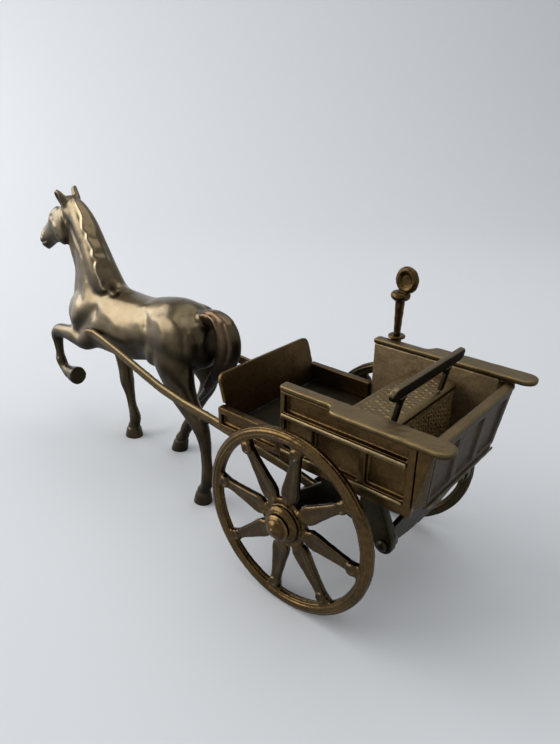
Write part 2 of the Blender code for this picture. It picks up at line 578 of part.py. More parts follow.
def bent_shaft():
    """A flat bar swept along the shaft's rows, with a round boss at its rear end."""
    bm = bmesh.new()
    rings = []
    half = SHAFT_THICKNESS / 2
    chamfer = 0.7 * MM
    for x, y, z, tall in shaft_rows():
        cut = min(chamfer, tall * 0.5)
        section = [(-half, -tall + cut), (-half + cut, -tall), (half - cut, -tall), (half, -tall + cut),
                   (half, tall - cut), (half - cut, tall), (-half + cut, tall), (-half, tall - cut)]
        rings.append([bm.verts.new((x, y + a, z + b)) for a, b in section])
    count = len(rings[0])
    for low, high in zip(rings, rings[1:]):
        for i in range(count):
            j = (i + 1) % count
            bm.faces.new((low[i], low[j], high[j], high[i]))
    bm.faces.new(rings[0])
    bm.faces.new(rings[-1])
    eye = [(-half, 0), (-half, SHAFT_END_BOSS), (half, SHAFT_END_BOSS), (half, 0)]
    boss = turned(eye, (HANGER_X, -SHAFT_BODY_Y, HANGER_Z), 20)
    bar = combined(bm, [boss], "UNION")
    seat = half - (SHAFT_THICKNESS - PIN_SEAT_DEPTH - GAP)
    hole = [(-seat, 0), (-seat, PIN_RADIUS + HOLE_GAP), (half + MM, PIN_RADIUS + HOLE_GAP), (half + MM, 0)]
    pin_hole = turned(hole, (PIN_X, -PIN_SHAFT_Y, PIN_HEIGHT), 16)
    through = SHAFT_THICKNESS
    eye_radius = BOLT_RADIUS + HOLE_GAP
    bolt = [(-through, 0), (-through, eye_radius), (through, eye_radius), (through, 0)]
    bolt_hole = turned(bolt, (HANGER_X, -SHAFT_BODY_Y, HANGER_Z), 16)
    return combined(bar, [pin_hole, bolt_hole], "DIFFERENCE")


def axle_bracket():
    """A raked plate from the axle up to the cart's floor, left side."""
    top = BODY_BOTTOM - GAP
    eye = AXLE_ARM_RADIUS + BRACKET_EYE_WALL
    outline = arc((0, AXLE_Z), eye, 160, 330, 8)
    outline += [(BRACKET_WAIST_X, AXLE_Z + BRACKET_WAIST_RISE), (BRACKET_TOP_REAR, top - BRACKET_TOP_DEPTH),
                (BRACKET_TOP_REAR, top), (BRACKET_TOP_FRONT, top),
                (BRACKET_TOP_FRONT, top - BRACKET_TOP_DEPTH),
                (-eye * 0.94, AXLE_Z + BRACKET_FRONT_RISE)]
    plate = prism(outline, "Y", -BRACKET_OUTER_Y, -BRACKET_INNER_Y)
    wide = BRACKET_THICKNESS * 2
    hole = [(-wide, 0), (-wide, AXLE_ARM_RADIUS + HOLE_GAP), (wide, AXLE_ARM_RADIUS + HOLE_GAP), (wide, 0)]
    bore = turned(hole, (0, -(BRACKET_INNER_Y + BRACKET_OUTER_Y) / 2, AXLE_Z), 24)
    return combined(plate, [bore], "DIFFERENCE")


def rear_hanger():
    """A raked arm under the cart's tail that holds the shaft's rear boss, left side."""
    top = BODY_BOTTOM - GAP
    outline = [(HANGER_ARM_X, top), (HANGER_ARM_X, top - HANGER_ARM_EDGE)]
    outline += arc((HANGER_X, HANGER_Z), HANGER_EYE, 190, 360, 8)
    outline += [(HANGER_X + HANGER_EYE, HANGER_Z + HANGER_EYE), (HANGER_ARM_X + HANGER_ARM_WIDTH, top)]
    plate = prism(outline, "Y", -HANGER_OUTER_Y, -BRACKET_INNER_Y)
    wide = HANGER_THICKNESS
    hole = [(-wide, 0), (-wide, BOLT_RADIUS + HOLE_GAP), (wide, BOLT_RADIUS + HOLE_GAP), (wide, 0)]
    bore = turned(hole, (HANGER_X, -(BRACKET_INNER_Y + HANGER_OUTER_Y) / 2, HANGER_Z), 16)
    return combined(plate, [bore], "DIFFERENCE")


def rear_cross_bar():
    """The upright flat bar between the shafts' rear bosses, bowed below and arched above."""
    end = SHAFT_BODY_Y - SHAFT_THICKNESS / 2 - GAP
    foot = HANGER_Z - CROSS_BAR_BELOW_EYE
    steps = 12
    places = [end * (2 * k / steps - 1) for k in range(steps + 1)]
    outline = [(y, foot - CROSS_BAR_BOW * (1 - (y / end) ** 2)) for y in places]
    outline += [(y, foot + CROSS_BAR_END_HEIGHT + CROSS_BAR_ARCH * (1 - (y / end) ** 2))
                for y in reversed(places)]
    return prism(outline, "X", HANGER_X - CROSS_BAR_THICKNESS / 2, HANGER_X + CROSS_BAR_THICKNESS / 2)


def hanger_bolt():
    """A round-headed bolt through the hanger and the shaft's boss, left side."""
    head = -HANGER_OUTER_Y - GAP
    inner = -SHAFT_BODY_Y + SHAFT_THICKNESS / 2
    profile = [(head - BOLT_HEAD_HEIGHT, 0), (head - BOLT_HEAD_HEIGHT, BOLT_HEAD_RADIUS * 0.55),
               (head - BOLT_HEAD_HEIGHT * 0.5, BOLT_HEAD_RADIUS * 0.9), (head, BOLT_HEAD_RADIUS),
               (head, BOLT_RADIUS), (inner, BOLT_RADIUS), (inner, 0)]
    return turned(profile, (HANGER_X, 0, HANGER_Z), 16)


def axle_tree():
    """The tall beam on which the shafts rest, with a round arm for each wheel."""
    end = WHEEL_Y + HUB_LENGTH / 2 + GAP
    arm = [(-end, 0), (-end, AXLE_ARM_RADIUS), (end, AXLE_ARM_RADIUS), (end, 0)]
    beam_end = BRACKET_INNER_Y - GAP
    half = AXLE_BEAM_SIZE / 2
    beam = box((-half, -beam_end, AXLE_Z - half), (half, beam_end, AXLE_Z + AXLE_BEAM_RISE))
    return combined(turned(arm, (0, 0, AXLE_Z), 24), [beam], "UNION")


def hub_washer():
    """A collar on the left arm between the bracket and the hub."""
    inner = -BRACKET_OUTER_Y - GAP
    outer = -WHEEL_Y + HUB_LENGTH / 2 + GAP
    bore = AXLE_ARM_RADIUS + HOLE_GAP
    section = [(outer, bore), (outer, WASHER_RADIUS), (inner, WASHER_RADIUS), (inner, bore)]
    return turned(closed_ring_profile(section), (0, 0, AXLE_Z), 24)


def hub_cap():
    """The stepped and domed cap on the end of the left arm."""
    seat = -WHEEL_Y - HUB_LENGTH / 2 - GAP * 2
    step = seat - 0.8 * MM
    steps = 5
    profile = [(seat, 0), (seat, HUB_CAP_RADIUS), (step, HUB_CAP_RADIUS - 0.4 * MM), (step, HUB_CAP_DOME)]
    for k in range(1, steps + 1):
        angle = pi / 2 * k / steps
        profile.append((step - (HUB_CAP_HEIGHT - 0.8 * MM) * sin(angle), HUB_CAP_DOME * cos(angle)))
    return turned(profile, (0, 0, AXLE_Z), 24)


def side_panel():
    """The left side of the box with its sunk panels: a long one above and three below."""
    plate = box((BODY_FRONT, -BODY_Y, BODY_BOTTOM), (SIDE_REAR, -INNER_Y, WALL_TOP))
    waist = BODY_BOTTOM + WAIST_ABOVE_BASE
    base = BODY_BOTTOM + BASE_MOULDING_RISE + BASE_MOULDING_HEIGHT
    low_x = BODY_FRONT + PANEL_FRAME
    high_x = SIDE_REAR - PANEL_REAR_STILE
    sunk = -BODY_Y + PANEL_RECESS
    half_stile = LOWER_STILE_WIDTH / 2
    out = -BODY_Y - MM
    cuts = [box((low_x, out, waist + WAIST_HEIGHT + 0.3 * MM), (high_x, sunk, WALL_TOP - 1.2 * MM))]
    starts = [low_x] + [x + half_stile for x in LOWER_STILES]
    ends = [x - half_stile for x in LOWER_STILES] + [high_x]
    for start, end in zip(starts, ends):
        cuts.append(box((start, out, base + 0.3 * MM), (end, sunk, waist - 0.3 * MM)))
    return combined(plate, cuts, "DIFFERENCE")


def moulding(low_z, height):
    """A half-round strip along the left side's outer face."""
    face = -BODY_Y - GAP
    half = height / 2
    steps = 5
    outline = [(face, low_z), (face, low_z + height)]
    for k in range(1, steps):
        angle = pi * k / steps
        outline.append((face - MOULDING_DEPTH * sin(angle), low_z + half + half * cos(angle)))
    return prism(outline, "X", BODY_FRONT + PANEL_FRAME / 2, SIDE_REAR - PANEL_REAR_STILE)


def tailgate_half_width(rise):
    """Half the width of the tailgate at a share of its height."""
    return (TAILGATE_FOOT_WIDTH + (TAILGATE_TOP_WIDTH - TAILGATE_FOOT_WIDTH) * rise) / 2


def corner_post():
    """The post that turns the left rear corner, from the side panel to the tailgate's slanting edge."""
    bm = bmesh.new()
    rings = []
    foot = BODY_BOTTOM + POST_FOOT_RISE
    for height, rise in ((foot, POST_FOOT_RISE / (WALL_TOP - BODY_BOTTOM)), (WALL_TOP, 1)):
        face = TAILGATE_X + (height - BODY_BOTTOM) * LEAN_PER_RISE
        edge = -tailgate_half_width(rise) - GAP
        start = SIDE_REAR + GAP
        plan = [(start, -BODY_Y), (face, edge - 0.4 * MM), (face, edge),
                (max(face - TAILGATE_THICKNESS, start + 0.4 * MM), edge), (start, -INNER_Y)]
        rings.append([bm.verts.new((x, y, height)) for x, y in plan])
    low, high = rings
    for i in range(len(low)):
        j = (i + 1) % len(low)
        bm.faces.new((low[i], low[j], high[j], high[i]))
    bm.faces.new(low)
    bm.faces.new(high)
    bmesh.ops.triangulate(bm, faces=bm.faces)
    return bm


def side_rail():
    """The flat rail on the left side: narrow in front, a wide arm rest behind, with a round tip."""
    inner = -RAIL_INNER_Y
    narrow = -RAIL_INNER_Y - RAIL_NARROW
    wide = -RAIL_INNER_Y - RAIL_WIDE
    tip = RAIL_WIDE * 0.46
    front = BODY_FRONT - 0.4 * MM
    corner = 1.8 * MM
    outline = [(front, inner)] + arc((front + corner, narrow + corner), corner, 180, 270, 4)
    outline += [(RAIL_STEP_X - 3 * MM, narrow), (RAIL_STEP_X - MM, narrow - 0.6 * MM)]
    outline += [(RAIL_STEP_X + MM, wide + 0.8 * MM), (RAIL_STEP_X + 3.4 * MM, wide)]
    outline += arc((RAIL_TIP_X - tip, wide + tip), tip, 270, 360, 5)
    outline += arc((RAIL_TIP_X - tip, inner - tip), tip, 0, 90, 5)
    return softened(prism(outline, "Z", RAIL_BOTTOM, BODY_TOP), 0.5 * MM)


def raised_on_tailgate(bm):
    """Narrows a piece towards the tailgate's foot, leans it back and stands it at the cart's rear."""
    tall = tailgate_height()
    for vert in bm.verts:
        vert.co.y *= tailgate_half_width(vert.co.z / tall) / tailgate_half_width(1)
    place = Matrix.Translation((TAILGATE_X, 0, BODY_BOTTOM))
    turn = Matrix.Rotation(TAILGATE_LEAN * pi / 180, 4, "Y")
    bmesh.ops.transform(bm, matrix=place @ turn, verts=bm.verts)
    return bm


def tailgate_height():
    return (WALL_TOP - BODY_BOTTOM) / cos(TAILGATE_LEAN * pi / 180) - 0.2 * MM


def tailgate():
    """The leaning board at the back with its row of sunk upright panels."""
    half = TAILGATE_TOP_WIDTH / 2 - GAP
    tall = tailgate_height()
    board = box((-TAILGATE_THICKNESS + GAP, -half, 0.6 * MM), (0, half, tall - TAILGATE_THICKNESS))
    pitch = 2 * half / TAILGATE_PANELS
    cuts = []
    for k in range(TAILGATE_PANELS):
        middle = -half + pitch * (k + 0.5)
        reach = (pitch - TAILGATE_STILE) / 2
        cuts.append(box((-TAILGATE_RECESS, middle - reach, 6 * MM), (MM, middle + reach, tall - 6 * MM)))
    return raised_on_tailgate(combined(board, cuts, "DIFFERENCE"))


def tailgate_rail():
    """The flat cap rail on the tailgate, between the side rails."""
    half = TAILGATE_TOP_WIDTH / 2 - GAP
    foot = tailgate_height() - TAILGATE_THICKNESS + GAP
    middle = -TAILGATE_THICKNESS / 2
    reach = TAILGATE_RAIL_DEPTH / 2
    cap = box((middle - reach, -half, foot), (middle + reach, half, foot + 2.3 * MM))
    return raised_on_tailgate(softened(cap, 0.4 * MM))


def tailgate_moulding():
    """The strip along the tailgate's foot."""
    half = TAILGATE_TOP_WIDTH / 2 - GAP
    strip = box((GAP, -half, 1.2 * MM), (GAP + 0.9 * MM, half, 3 * MM))
    return raised_on_tailgate(softened(strip, 0.3 * MM))


def footwell_side():
    """The low left wall of the footwell with its sunk slot, and its top edge as a ledge."""
    outer = -FOOTWELL_WIDTH / 2
    top = BODY_BOTTOM + FOOTWELL_HEIGHT
    wall = box((FOOTWELL_FRONT, outer, BODY_BOTTOM), (BODY_FRONT - GAP, outer + FOOTWELL_WALL, top))
    slot = box((FOOTWELL_FRONT + 2.2 * MM, outer - MM, BODY_BOTTOM + 3 * MM),
               (BODY_FRONT - 4 * MM, outer + PANEL_RECESS, top - 3.2 * MM))
    return combined(softened(wall, 0.3 * MM), [slot], "DIFFERENCE")


def dashboard():
    """The flat board in front of the footwell, leaning over the horse's tail."""
    half = DASH_WIDTH / 2
    foot = FOOTWELL_WIDTH / 2 - FOOTWELL_WALL - GAP
    shoulder = (FOOTWELL_HEIGHT - FLOOR_THICKNESS + GAP) / cos(DASH_LEAN * pi / 180)
    top = DASH_HEIGHT / cos(DASH_LEAN * pi / 180)
    outline = [(-foot, 0), (foot, 0), (foot, shoulder), (half, shoulder)]
    outline += arc((half - DASH_CORNER, top - DASH_CORNER), DASH_CORNER, 0, 90, 5)
    outline += arc((-half + DASH_CORNER, top - DASH_CORNER), DASH_CORNER, 90, 180, 5)
    outline += [(-half, shoulder), (-foot, shoulder)]
    bm = prism(outline, "X", 0, DASH_THICKNESS)
    turn = Matrix.Rotation(-DASH_LEAN * pi / 180, 4, "Y")
    place = Matrix.Translation((DASH_FOOT_X, 0, FLOOR_TOP + GAP)) @ turn
    bmesh.ops.transform(bm, matrix=place, verts=bm.verts)
    return bm


def footboard():
    half = FOOTWELL_WIDTH / 2 - FOOTWELL_WALL - GAP
    return box((FOOTWELL_FRONT, -half, BODY_BOTTOM), (BODY_FRONT - GAP, half, FLOOR_TOP))


def trunk_floor():
    """The floor of the box, cut slanting at its rear corners to clear the posts."""
    half = INNER_Y - GAP
    rear = TAILGATE_X - TAILGATE_THICKNESS
    corner = TAILGATE_FOOT_WIDTH / 2 - GAP
    outline = [(BODY_FRONT, -half), (SIDE_REAR - MM, -half), (rear, -corner), (rear, corner),
               (SIDE_REAR - MM, half), (BODY_FRONT, half)]
    return prism(outline, "Z", BODY_BOTTOM, FLOOR_TOP)


def seat_board():
    """The seat with rows of cast tufts on its top."""
    half = SEAT_WIDTH / 2
    bm = bmesh.new()
    columns = SEAT_TUFT_COLUMNS * 2
    rows = SEAT_TUFT_ROWS * 2
    bmesh.ops.create_grid(bm, x_segments=rows, y_segments=columns, size=0.5)
    for vert in bm.verts:
        row = round((vert.co.x + 0.5) * rows)
        column = round((vert.co.y + 0.5) * columns)
        inside = 0 < row < rows and 0 < column < columns
        raised = SEAT_TUFT if inside and (row + column) % 2 == 0 else 0
        x = SEAT_FRONT + (SEAT_REAR - SEAT_FRONT) * row / rows
        vert.co = (x, -half + SEAT_WIDTH * column / columns, SEAT_TOP - SEAT_TUFT + raised)
    grown = bmesh.ops.extrude_face_region(bm, geom=bm.faces[:])
    low = [item for item in grown["geom"] if isinstance(item, bmesh.types.BMVert)]
    for vert in low:
        vert.co.z = SEAT_UNDERSIDE
    bmesh.ops.dissolve_limit(bm, angle_limit=0.5 * pi / 180, verts=bm.verts, edges=bm.edges)
    bmesh.ops.triangulate(bm, faces=bm.faces)
    return bm


def seat_panel(front):
    """An upright board under the seat's front or rear edge, down to the floor."""
    half = SEAT_WIDTH / 2
    low = front + 0.6 * MM
    return box((low, -half, FLOOR_TOP + GAP), (low + SEAT_PANEL, half, SEAT_UNDERSIDE - GAP))


def backrest_frame():
    """Where the backrest's struts stand, at the rear edge of the seat, and their lean."""
    foot = (SEAT_REAR - BACKREST_INSET, 0, SEAT_TOP - SEAT_TUFT + GAP)
    return Matrix.Translation(foot) @ Matrix.Rotation(BACKREST_LEAN * pi / 180, 4, "Y")


def backrest_strut(side):
    """One strut of the backrest, wider where it meets the board; both stand a little left of the middle."""
    middle = side * STRUT_SPACING / 2 - STRUT_OFFSET
    reach = STRUT_WIDTH / 2
    foot = 0.84 * MM
    flare = BACKREST_RISE - 1.5 * STRUT_FLARE
    inner = middle - side * (reach + STRUT_FLARE)
    outer = middle + side * (reach + STRUT_FLARE * 0.4)
    outline = [(middle + side * reach, foot), (middle + side * reach, flare), (outer, BACKREST_RISE),
               (inner, BACKREST_RISE), (middle - side * reach, flare), (middle - side * reach, foot)]
    bm = prism(outline, "X", -STRUT_THICKNESS / 2, STRUT_THICKNESS / 2)
    bmesh.ops.transform(bm, matrix=backrest_frame(), verts=bm.verts)
    return bm


def backrest_rail():
    """The flat board on top of the struts, with round ends."""
    half = BACKREST_LENGTH / 2
    left = -BACKREST_OFFSET
    low = BACKREST_RISE + GAP
    tall = BACKREST_HEIGHT
    outline = arc((left + half - tall / 2, low + tall / 2), tall / 2, -90, 90, 6)
    outline += arc((left - half + tall / 2, low + tall / 2), tall / 2, 90, 270, 6)
    reach = BACKREST_THICKNESS / 2
    bm = softened(prism(outline, "X", -reach, reach), 0.3 * MM)
    bmesh.ops.transform(bm, matrix=backrest_frame(), verts=bm.verts)
    return bm


def whip_place():
    return (WHIP_X, RAIL_INNER_Y + RAIL_NARROW + SOCKET_CUP_RADIUS + GAP, BODY_TOP)


def whip_socket():
    """A thin round plate on the right rail with a cup beside the rail, bored for the whip's foot."""
    bore = WHIP_FOOT_RADIUS + HOLE_GAP
    top = GAP + SOCKET_PLATE
    floor = top - WHIP_FOOT_DEPTH - GAP
    profile = [(top - SOCKET_CUP_DEPTH - MM, 0), (top - SOCKET_CUP_DEPTH - MM, SOCKET_CUP_RADIUS * 0.7),
               (top - SOCKET_CUP_DEPTH, SOCKET_CUP_RADIUS), (GAP, SOCKET_CUP_RADIUS), (GAP, SOCKET_RADIUS),
               (top - 0.4 * MM, SOCKET_RADIUS), (top, SOCKET_RADIUS - 0.4 * MM), (top, bore),
               (floor, bore), (floor, 0)]
    return turned_upright(profile, whip_place(), 24)


def whip():
    """The whip in its socket: a stem that widens upwards, a round collar and the coiled lash as one ring."""
    x, y, z = whip_place()
    seat = GAP + SOCKET_PLATE + GAP
    foot = seat - WHIP_FOOT_DEPTH
    collar = seat + WHIP_STEM_LENGTH
    profile = [(foot, 0), (foot, WHIP_FOOT_RADIUS), (seat, WHIP_FOOT_RADIUS), (seat, WHIP_STEM_RADIUS),
               (collar, WHIP_STEM_TOP_RADIUS)]
    reach = WHIP_COLLAR_HEIGHT / 2
    for k in range(7):
        angle = -pi / 2 + pi * k / 6
        profile.append((collar + reach + reach * sin(angle),
                        WHIP_STEM_TOP_RADIUS + (WHIP_COLLAR_RADIUS - WHIP_STEM_TOP_RADIUS) * cos(angle)))
    profile.append((collar + 2 * reach, 0))
    stem = turned_upright(profile, whip_place(), 20)
    ring = bmesh.new()
    sides = 8
    loops = 20
    tall = WHIP_RING_RADIUS * WHIP_RING_STRETCH
    ring_foot = collar + 2 * reach - WHIP_RING_SINK
    centre = Vector((x + WHIP_RING_OFFSET, y, z + ring_foot + tall + WHIP_RING_TUBE))
    circles = []
    for k in range(loops):
        angle = 2 * pi * k / loops
        outward = Vector((cos(angle), 0, sin(angle)))
        middle = centre + Vector((WHIP_RING_RADIUS * cos(angle), 0, tall * sin(angle)))
        circle = []
        for i in range(sides):
            turn = 2 * pi * i / sides
            circle.append(ring.verts.new(middle + outward * WHIP_RING_TUBE * cos(turn)
                                         + Vector((0, WHIP_RING_TUBE * sin(turn), 0))))
        circles.append(circle)
    for k in range(loops):
        low, high = circles[k], circles[(k + 1) % loops]
        for i in range(sides):
            j = (i + 1) % sides
            ring.faces.new((low[i], low[j], high[j], high[i]))
    plate = 0.7 * MM
    disc = [(-plate, 0), (-plate, WHIP_RING_RADIUS), (plate, WHIP_RING_RADIUS), (plate, 0)]
    web = turned(disc, tuple(centre), 16)
    return combined(stem, [ring, web], "UNION")


def shaft_pin():
    """The rod through the horse's shoulders on which both shafts hang."""
    end = PIN_SHAFT_Y - SHAFT_THICKNESS / 2 + PIN_SEAT_DEPTH
    return turned([(-end, 0), (-end, PIN_RADIUS), (end, PIN_RADIUS), (end, 0)], (PIN_X, 0, PIN_HEIGHT), 16)


def both_sides(name, make, origin, parent, finish, smooth_angle=None):
    """Adds a left piece and its mirror image on the right."""
    add_piece(name + "_left", make(), origin, parent, finish, smooth_angle)
    twin = (origin[0], -origin[1], origin[2])
    add_piece(name + "_right", mirrored(make()), twin, parent, finish, smooth_angle)


def build():
    clear_scene()
    horse = cast_horse()
    front = min(vert.co.x for vert in horse.verts)
    axle_x = -(front + RAIL_TIP_X) / 2

    def joint_empty(name, from_axle):
        empty = make_empty(name, Vector(from_axle) + Vector((axle_x, 0, 0)))
        empty["from_axle"] = from_axle
        return empty

    horse_base = joint_empty("horse_base", (PIN_X, 0, PIN_HEIGHT))
    cart_base = joint_empty("cart_base", (PIN_X, 0, PIN_HEIGHT))
    left_hub = joint_empty("left_hub", (0, -WHEEL_Y, AXLE_Z))
    right_hub = joint_empty("right_hub", (0, WHEEL_Y, AXLE_Z))
    whip_base = joint_empty("whip_base", whip_place())
    round_edge = 35 * pi / 180

    add_piece("horse", horse, (PIN_X, 0, PIN_HEIGHT), horse_base, HORSE_BRASS, 60 * pi / 180)
    add_piece("shaft_pin", shaft_pin(), (PIN_X, 0, PIN_HEIGHT), horse_base, DARK_BRASS, round_edge)
    add_piece("wheel_left", cast_wheel(-1), (0, -WHEEL_Y, AXLE_Z), left_hub, WHEEL_BRASS, round_edge)
    add_piece("wheel_right", cast_wheel(1), (0, WHEEL_Y, AXLE_Z), right_hub, WHEEL_BRASS, round_edge)
    add_piece("whip", whip(), whip_place(), whip_base, DARK_BRASS, round_edge)

    axle = (0, 0, AXLE_Z)
    floor = (0, 0, BODY_BOTTOM)
    add_piece("axle", axle_tree(), axle, cart_base, SHADED_BRASS, round_edge)
    both_sides("hub_washer", hub_washer, (0, -WHEEL_Y, AXLE_Z), cart_base, SHADED_BRASS, round_edge)
    both_sides("hub_cap", hub_cap, (0, -WHEEL_Y, AXLE_Z), cart_base, WHEEL_BRASS, round_edge)
    both_sides("axle_bracket", axle_bracket, (0, -BRACKET_INNER_Y, AXLE_Z), cart_base, SHADED_BRASS)
    both_sides("shaft", bent_shaft, (PIN_X, -PIN_SHAFT_Y, PIN_HEIGHT), cart_base, RAIL_BRASS, round_edge)
    both_sides("rear_hanger", rear_hanger, (HANGER_X, -BRACKET_INNER_Y, HANGER_Z), cart_base, SHADED_BRASS)
    add_piece("rear_cross_bar", rear_cross_bar(), (HANGER_X, 0, HANGER_Z), cart_base, SHADED_BRASS)
    both_sides("hanger_bolt", hanger_bolt, (HANGER_X, -HANGER_OUTER_Y, HANGER_Z), cart_base,
               DARK_BRASS, round_edge)
    add_piece("footboard", footboard(), floor, cart_base, SHADED_BRASS)
    add_piece("trunk_floor", trunk_floor(), floor, cart_base, SHADED_BRASS)
    add_piece("dashboard", dashboard(), (DASH_FOOT_X, 0, FLOOR_TOP), cart_base, DARK_BRASS)
    both_sides("footwell_side", footwell_side, (FOOTWELL_FRONT, -FOOTWELL_WIDTH / 2, BODY_BOTTOM),
               cart_base, DARK_BRASS)
    both_sides("side_panel", side_panel, (0, -BODY_Y, BODY_BOTTOM), cart_base, DARK_BRASS)
    both_sides("side_rail", side_rail, (0, -RAIL_INNER_Y, RAIL_BOTTOM), cart_base, RAIL_BRASS)
    both_sides("waist_moulding", lambda: moulding(BODY_BOTTOM + WAIST_ABOVE_BASE, WAIST_HEIGHT),
               (0, -BODY_Y, BODY_BOTTOM + WAIST_ABOVE_BASE), cart_base, RAIL_BRASS, round_edge)
    both_sides("base_moulding", lambda: moulding(BODY_BOTTOM + BASE_MOULDING_RISE, BASE_MOULDING_HEIGHT),
               (0, -BODY_Y, BODY_BOTTOM + BASE_MOULDING_RISE), cart_base, RAIL_BRASS, round_edge)
    both_sides("corner_post", corner_post, (SIDE_REAR, -BODY_Y, BODY_BOTTOM), cart_base, DARK_BRASS)
    add_piece("tailgate", tailgate(), (TAILGATE_X, 0, BODY_BOTTOM), cart_base, DARK_BRASS)
    add_piece("tailgate_rail", tailgate_rail(), (TAILGATE_X, 0, WALL_TOP), cart_base, RAIL_BRASS)
    add_piece("tailgate_moulding", tailgate_moulding(), (TAILGATE_X, 0, BODY_BOTTOM), cart_base, DARK_BRASS)
    add_piece("seat_board", seat_board(), (SEAT_FRONT, 0, SEAT_TOP), cart_base, RAIL_BRASS)
    add_piece("seat_front_panel", seat_panel(SEAT_FRONT), (SEAT_FRONT, 0, FLOOR_TOP), cart_base, DARK_BRASS)
    rear_panel = seat_panel(SEAT_REAR - SEAT_PANEL - 1.2 * MM)
    add_piece("seat_rear_panel", rear_panel, (SEAT_REAR, 0, FLOOR_TOP), cart_base, DARK_BRASS)
    for side, name in ((-1, "backrest_strut_left"), (1, "backrest_strut_right")):
        middle = side * STRUT_SPACING / 2 - STRUT_OFFSET
        add_piece(name, backrest_strut(side), (SEAT_REAR, middle, SEAT_TOP), cart_base, SHADED_BRASS)
    add_piece("backrest_rail", backrest_rail(), (SEAT_REAR, 0, SEAT_TOP), cart_base, SHADED_BRASS)
    add_piece("whip_socket", whip_socket(), whip_place(), cart_base, DARK_BRASS, round_edge)


build()
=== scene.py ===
"""Aged brass horse and cart ornament: its castings, finishes, stage, lights and camera.

Metres, +Z up. The horse faces -X and the cart's left side is -Y. Places on the ornament are
given in millimetres from under the middle of the wheel axle, and moved to it by on_ornament.
"""

import json
from functools import partial
from math import cos, pi, radians, sin

import bmesh
import bpy
import numpy as np
from bpy.props import FloatProperty, FloatVectorProperty, IntProperty, PointerProperty
from bpy.types import Operator, Panel, PropertyGroup
from mathutils import Matrix, Vector

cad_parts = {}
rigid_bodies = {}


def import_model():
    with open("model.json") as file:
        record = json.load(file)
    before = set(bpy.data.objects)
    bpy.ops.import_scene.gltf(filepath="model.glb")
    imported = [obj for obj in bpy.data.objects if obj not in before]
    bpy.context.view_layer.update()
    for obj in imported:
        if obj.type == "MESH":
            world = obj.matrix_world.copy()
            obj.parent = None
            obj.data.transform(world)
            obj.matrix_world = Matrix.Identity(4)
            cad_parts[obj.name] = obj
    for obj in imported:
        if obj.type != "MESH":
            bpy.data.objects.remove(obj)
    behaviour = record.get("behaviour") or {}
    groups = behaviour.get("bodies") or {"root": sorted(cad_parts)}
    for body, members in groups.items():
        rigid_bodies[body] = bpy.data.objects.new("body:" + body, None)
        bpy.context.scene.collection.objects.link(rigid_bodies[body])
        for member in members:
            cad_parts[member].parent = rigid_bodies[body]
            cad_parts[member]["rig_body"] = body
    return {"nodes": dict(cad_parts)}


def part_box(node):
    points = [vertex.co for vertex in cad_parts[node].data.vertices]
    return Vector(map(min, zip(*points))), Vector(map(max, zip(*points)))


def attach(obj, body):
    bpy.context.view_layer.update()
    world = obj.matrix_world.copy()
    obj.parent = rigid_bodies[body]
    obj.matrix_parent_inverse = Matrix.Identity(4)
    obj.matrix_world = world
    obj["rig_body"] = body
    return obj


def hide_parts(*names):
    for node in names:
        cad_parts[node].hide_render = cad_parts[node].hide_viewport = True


bl_info = {
    "name": "Brass Horse and Cart",
    "version": (1, 0, 0),
    "blender": (4, 5, 0),
    "location": "View3D > Sidebar > Ornament",
    "description": "Builds the castings, finishes and stage of a brass horse and cart ornament",
    "category": "Object",
}

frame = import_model()

MM = 0.001
WHEEL_LOW, WHEEL_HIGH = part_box("wheel_left")
AXLE_X = (WHEEL_LOW[0] + WHEEL_HIGH[0]) / 2
WHEEL_RADIUS = (WHEEL_HIGH[2] - WHEEL_LOW[2]) / 2
WHEEL_MM = WHEEL_RADIUS / MM
SPOKES = 8
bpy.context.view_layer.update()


def on_ornament(place):
    """Millimetres from under the axle's middle to metres in the scene."""
    return Vector((AXLE_X + place[0] * MM, place[1] * MM, place[2] * MM))


def measure(name, description, default, low, high, **more):
    return FloatProperty(name=name, description=description, default=default, min=low, max=high, **more)


def tint(name, description, default):
    return FloatVectorProperty(name=name, description=description, default=default, subtype="COLOR",
                               size=3, min=0, max=1)


# Shapes


def spline_between(values, t):
    """Catmull-Rom through evenly numbered rows of values, at the place t."""
    i = min(int(t), len(values) - 2)
    f = t - i
    before = values[max(i - 1, 0)]
    after = values[min(i + 2, len(values) - 1)]
    out = []
    for a, b, c, d in zip(before, values[i], values[i + 1], after):
        out.append(0.5 * (2 * b + (c - a) * f + (2 * a - 5 * b + 4 * c - d) * f * f
                          + (3 * b - a - 3 * c + d) * f ** 3))
    return out


def curved(points, steps=4):
    """A finer run of points on the smooth curve through the given ones."""
    if len(points) < 2:
        return np.array(points, float)
    count = (len(points) - 1) * steps
    return np.array([spline_between(points, k / steps) for k in range(count + 1)], float)


